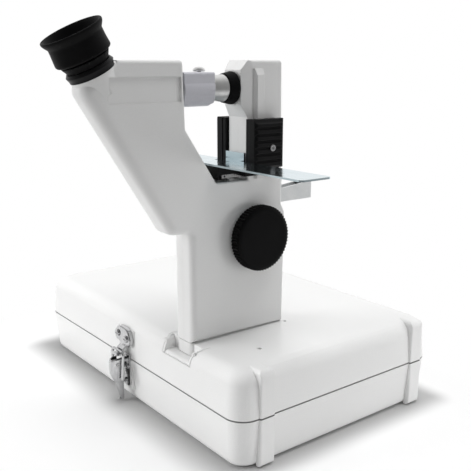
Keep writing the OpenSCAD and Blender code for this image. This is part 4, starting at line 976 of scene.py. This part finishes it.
# 0 beside the case, 1 at the reach and beyond it
def awayFromCase(tree, axes, caseHalf, reach):
    halfWidth, halfDepth = caseHalf
    beside = mathNode(tree, "ABSOLUTE", axes[0])
    before = mathNode(tree, "MULTIPLY", axes[1], -1.0)
    offsets = []
    for along, half, far in (
        (beside, halfWidth, reach[0]), (before, halfDepth, reach[1]), (axes[1], halfDepth, reach[2])
    ):
        outside = mathNode(tree, "MAXIMUM", mathNode(tree, "SUBTRACT", along, half), 0.0)
        offsets.append(mathNode(tree, "DIVIDE", outside, far))
    offset = addNode(tree, "ShaderNodeCombineXYZ", dict(enumerate(offsets))).outputs[0]
    distance = addNode(
        tree, "ShaderNodeVectorMath", {0: offset}, operation="LENGTH"
    ).outputs["Value"]
    return addNode(
        tree, "ShaderNodeMapRange", {"Value": distance}, interpolation_type="SMOOTHSTEP"
    ).outputs["Result"]


def makeFloor(studio):
    mesh = bpy.data.meshes.new("studioFloor")
    builder = bmesh.new()
    cells = studio["floorCells"]
    bmesh.ops.create_grid(
        builder, x_segments=cells, y_segments=cells, size=studio["floorSize"] / 2
    )
    builder.to_mesh(mesh)
    builder.free()
    floor = bpy.data.objects.new("studioFloor", mesh)
    floor.location.z = -studio["floorDrop"]
    bpy.context.scene.collection.objects.link(floor)
    material, tree, shader = newMaterial("paleFloor")
    tree.nodes.remove(shader)
    path = addNode(tree, "ShaderNodeLightPath")
    seen = mathNode(tree, "MAXIMUM", path.outputs["Is Camera Ray"], path.outputs["Is Glossy Ray"])
    seen = mathNode(tree, "MAXIMUM", seen, path.outputs["Is Transmission Ray"])
    place = addNode(tree, "ShaderNodeTexCoord").outputs["Object"]
    axes = addNode(tree, "ShaderNodeSeparateXYZ", {0: place}).outputs
    # painted shade: the floor is shown darker in the camera's eye close to the case, fading out at
    # the reach
    paintedShadeFade = awayFromCase(tree, axes, studio["caseHalf"], studio["paintedShadeReach"])
    shadedFloorTone = mixColour(tree, paintedShadeFade, studio["floorNearShade"], studio["floorFar"])
    tone = mixColour(tree, seen, studio["floorColour"], shadedFloorTone)
    diffuse = addNode(tree, "ShaderNodeBsdfDiffuse", {"Color": tone}).outputs[0]
    glow = addNode(
        tree, "ShaderNodeEmission", {"Color": (1, 1, 1, 1), "Strength": 1.0}
    ).outputs[0]
    away = awayFromCase(tree, axes, studio["caseHalf"], studio["farReach"])
    share = mathNode(tree, "MULTIPLY", seen, away)
    mixed = addNode(tree, "ShaderNodeMixShader", {0: share, 1: diffuse, 2: glow}).outputs[0]
    tree.links.new(mixed, tree.nodes["Material Output"].inputs["Surface"])
    mesh.materials.append(material)


def makeWorld(studio):
    world = bpy.data.worlds.new("paleStudio")
    world.use_nodes = True
    bpy.context.scene.world = world
    tree = world.node_tree
    tree.nodes.clear()
    toward = addNode(tree, "ShaderNodeTexCoord").outputs["Generated"]
    height = addNode(tree, "ShaderNodeSeparateXYZ", {0: toward}).outputs[2]
    ambient = mapRange(
        tree, height, studio["ambientFrom"], studio["ambientTo"],
        studio["ambientLow"], studio["ambientHigh"],
    )
    facing = addNode(
        tree, "ShaderNodeVectorMath", {0: toward, 1: studio["backdrop"]}, operation="DOT_PRODUCT"
    ).outputs["Value"]
    gleam = mapRange(
        tree, facing, studio["gleamFrom"], studio["gleamTo"],
        studio["gleamFront"], studio["gleamBack"],
    )
    path = addNode(tree, "ShaderNodeLightPath").outputs
    strength = addNode(
        tree, "ShaderNodeMix", {0: path["Is Glossy Ray"], 2: ambient, 3: gleam}
    ).outputs[0]
    seen = mathNode(tree, "MAXIMUM", path["Is Camera Ray"], path["Is Transmission Ray"])
    strength = addNode(tree, "ShaderNodeMix", {0: seen, 2: strength, 3: 1.0}).outputs[0]
    sky = addNode(tree, "ShaderNodeBackground", {"Color": (1, 1, 1, 1), "Strength": strength})
    output = addNode(tree, "ShaderNodeOutputWorld")
    tree.links.new(sky.outputs[0], output.inputs["Surface"])


def makeLamps(studio):
    for name, direction, far, size, watts in studio["lamps"]:
        data = bpy.data.lights.new(name, "AREA")
        data.shape, data.size, data.energy = "DISK", size, watts
        light = bpy.data.objects.new(name, data)
        light.visible_glossy = False    # gloss mirrors the backdrop, not the lamps
        toward = Vector(direction).normalized()
        light.location = Vector(studio["aim"]) + toward * far
        light.rotation_mode = "QUATERNION"
        light.rotation_quaternion = (-toward).to_track_quat("-Z", "Y")
        bpy.context.scene.collection.objects.link(light)


makeFloor(studio)
makeWorld(studio)
makeLamps(studio)
bpy.context.scene.view_settings.view_transform = "Standard"
print("studio ready")
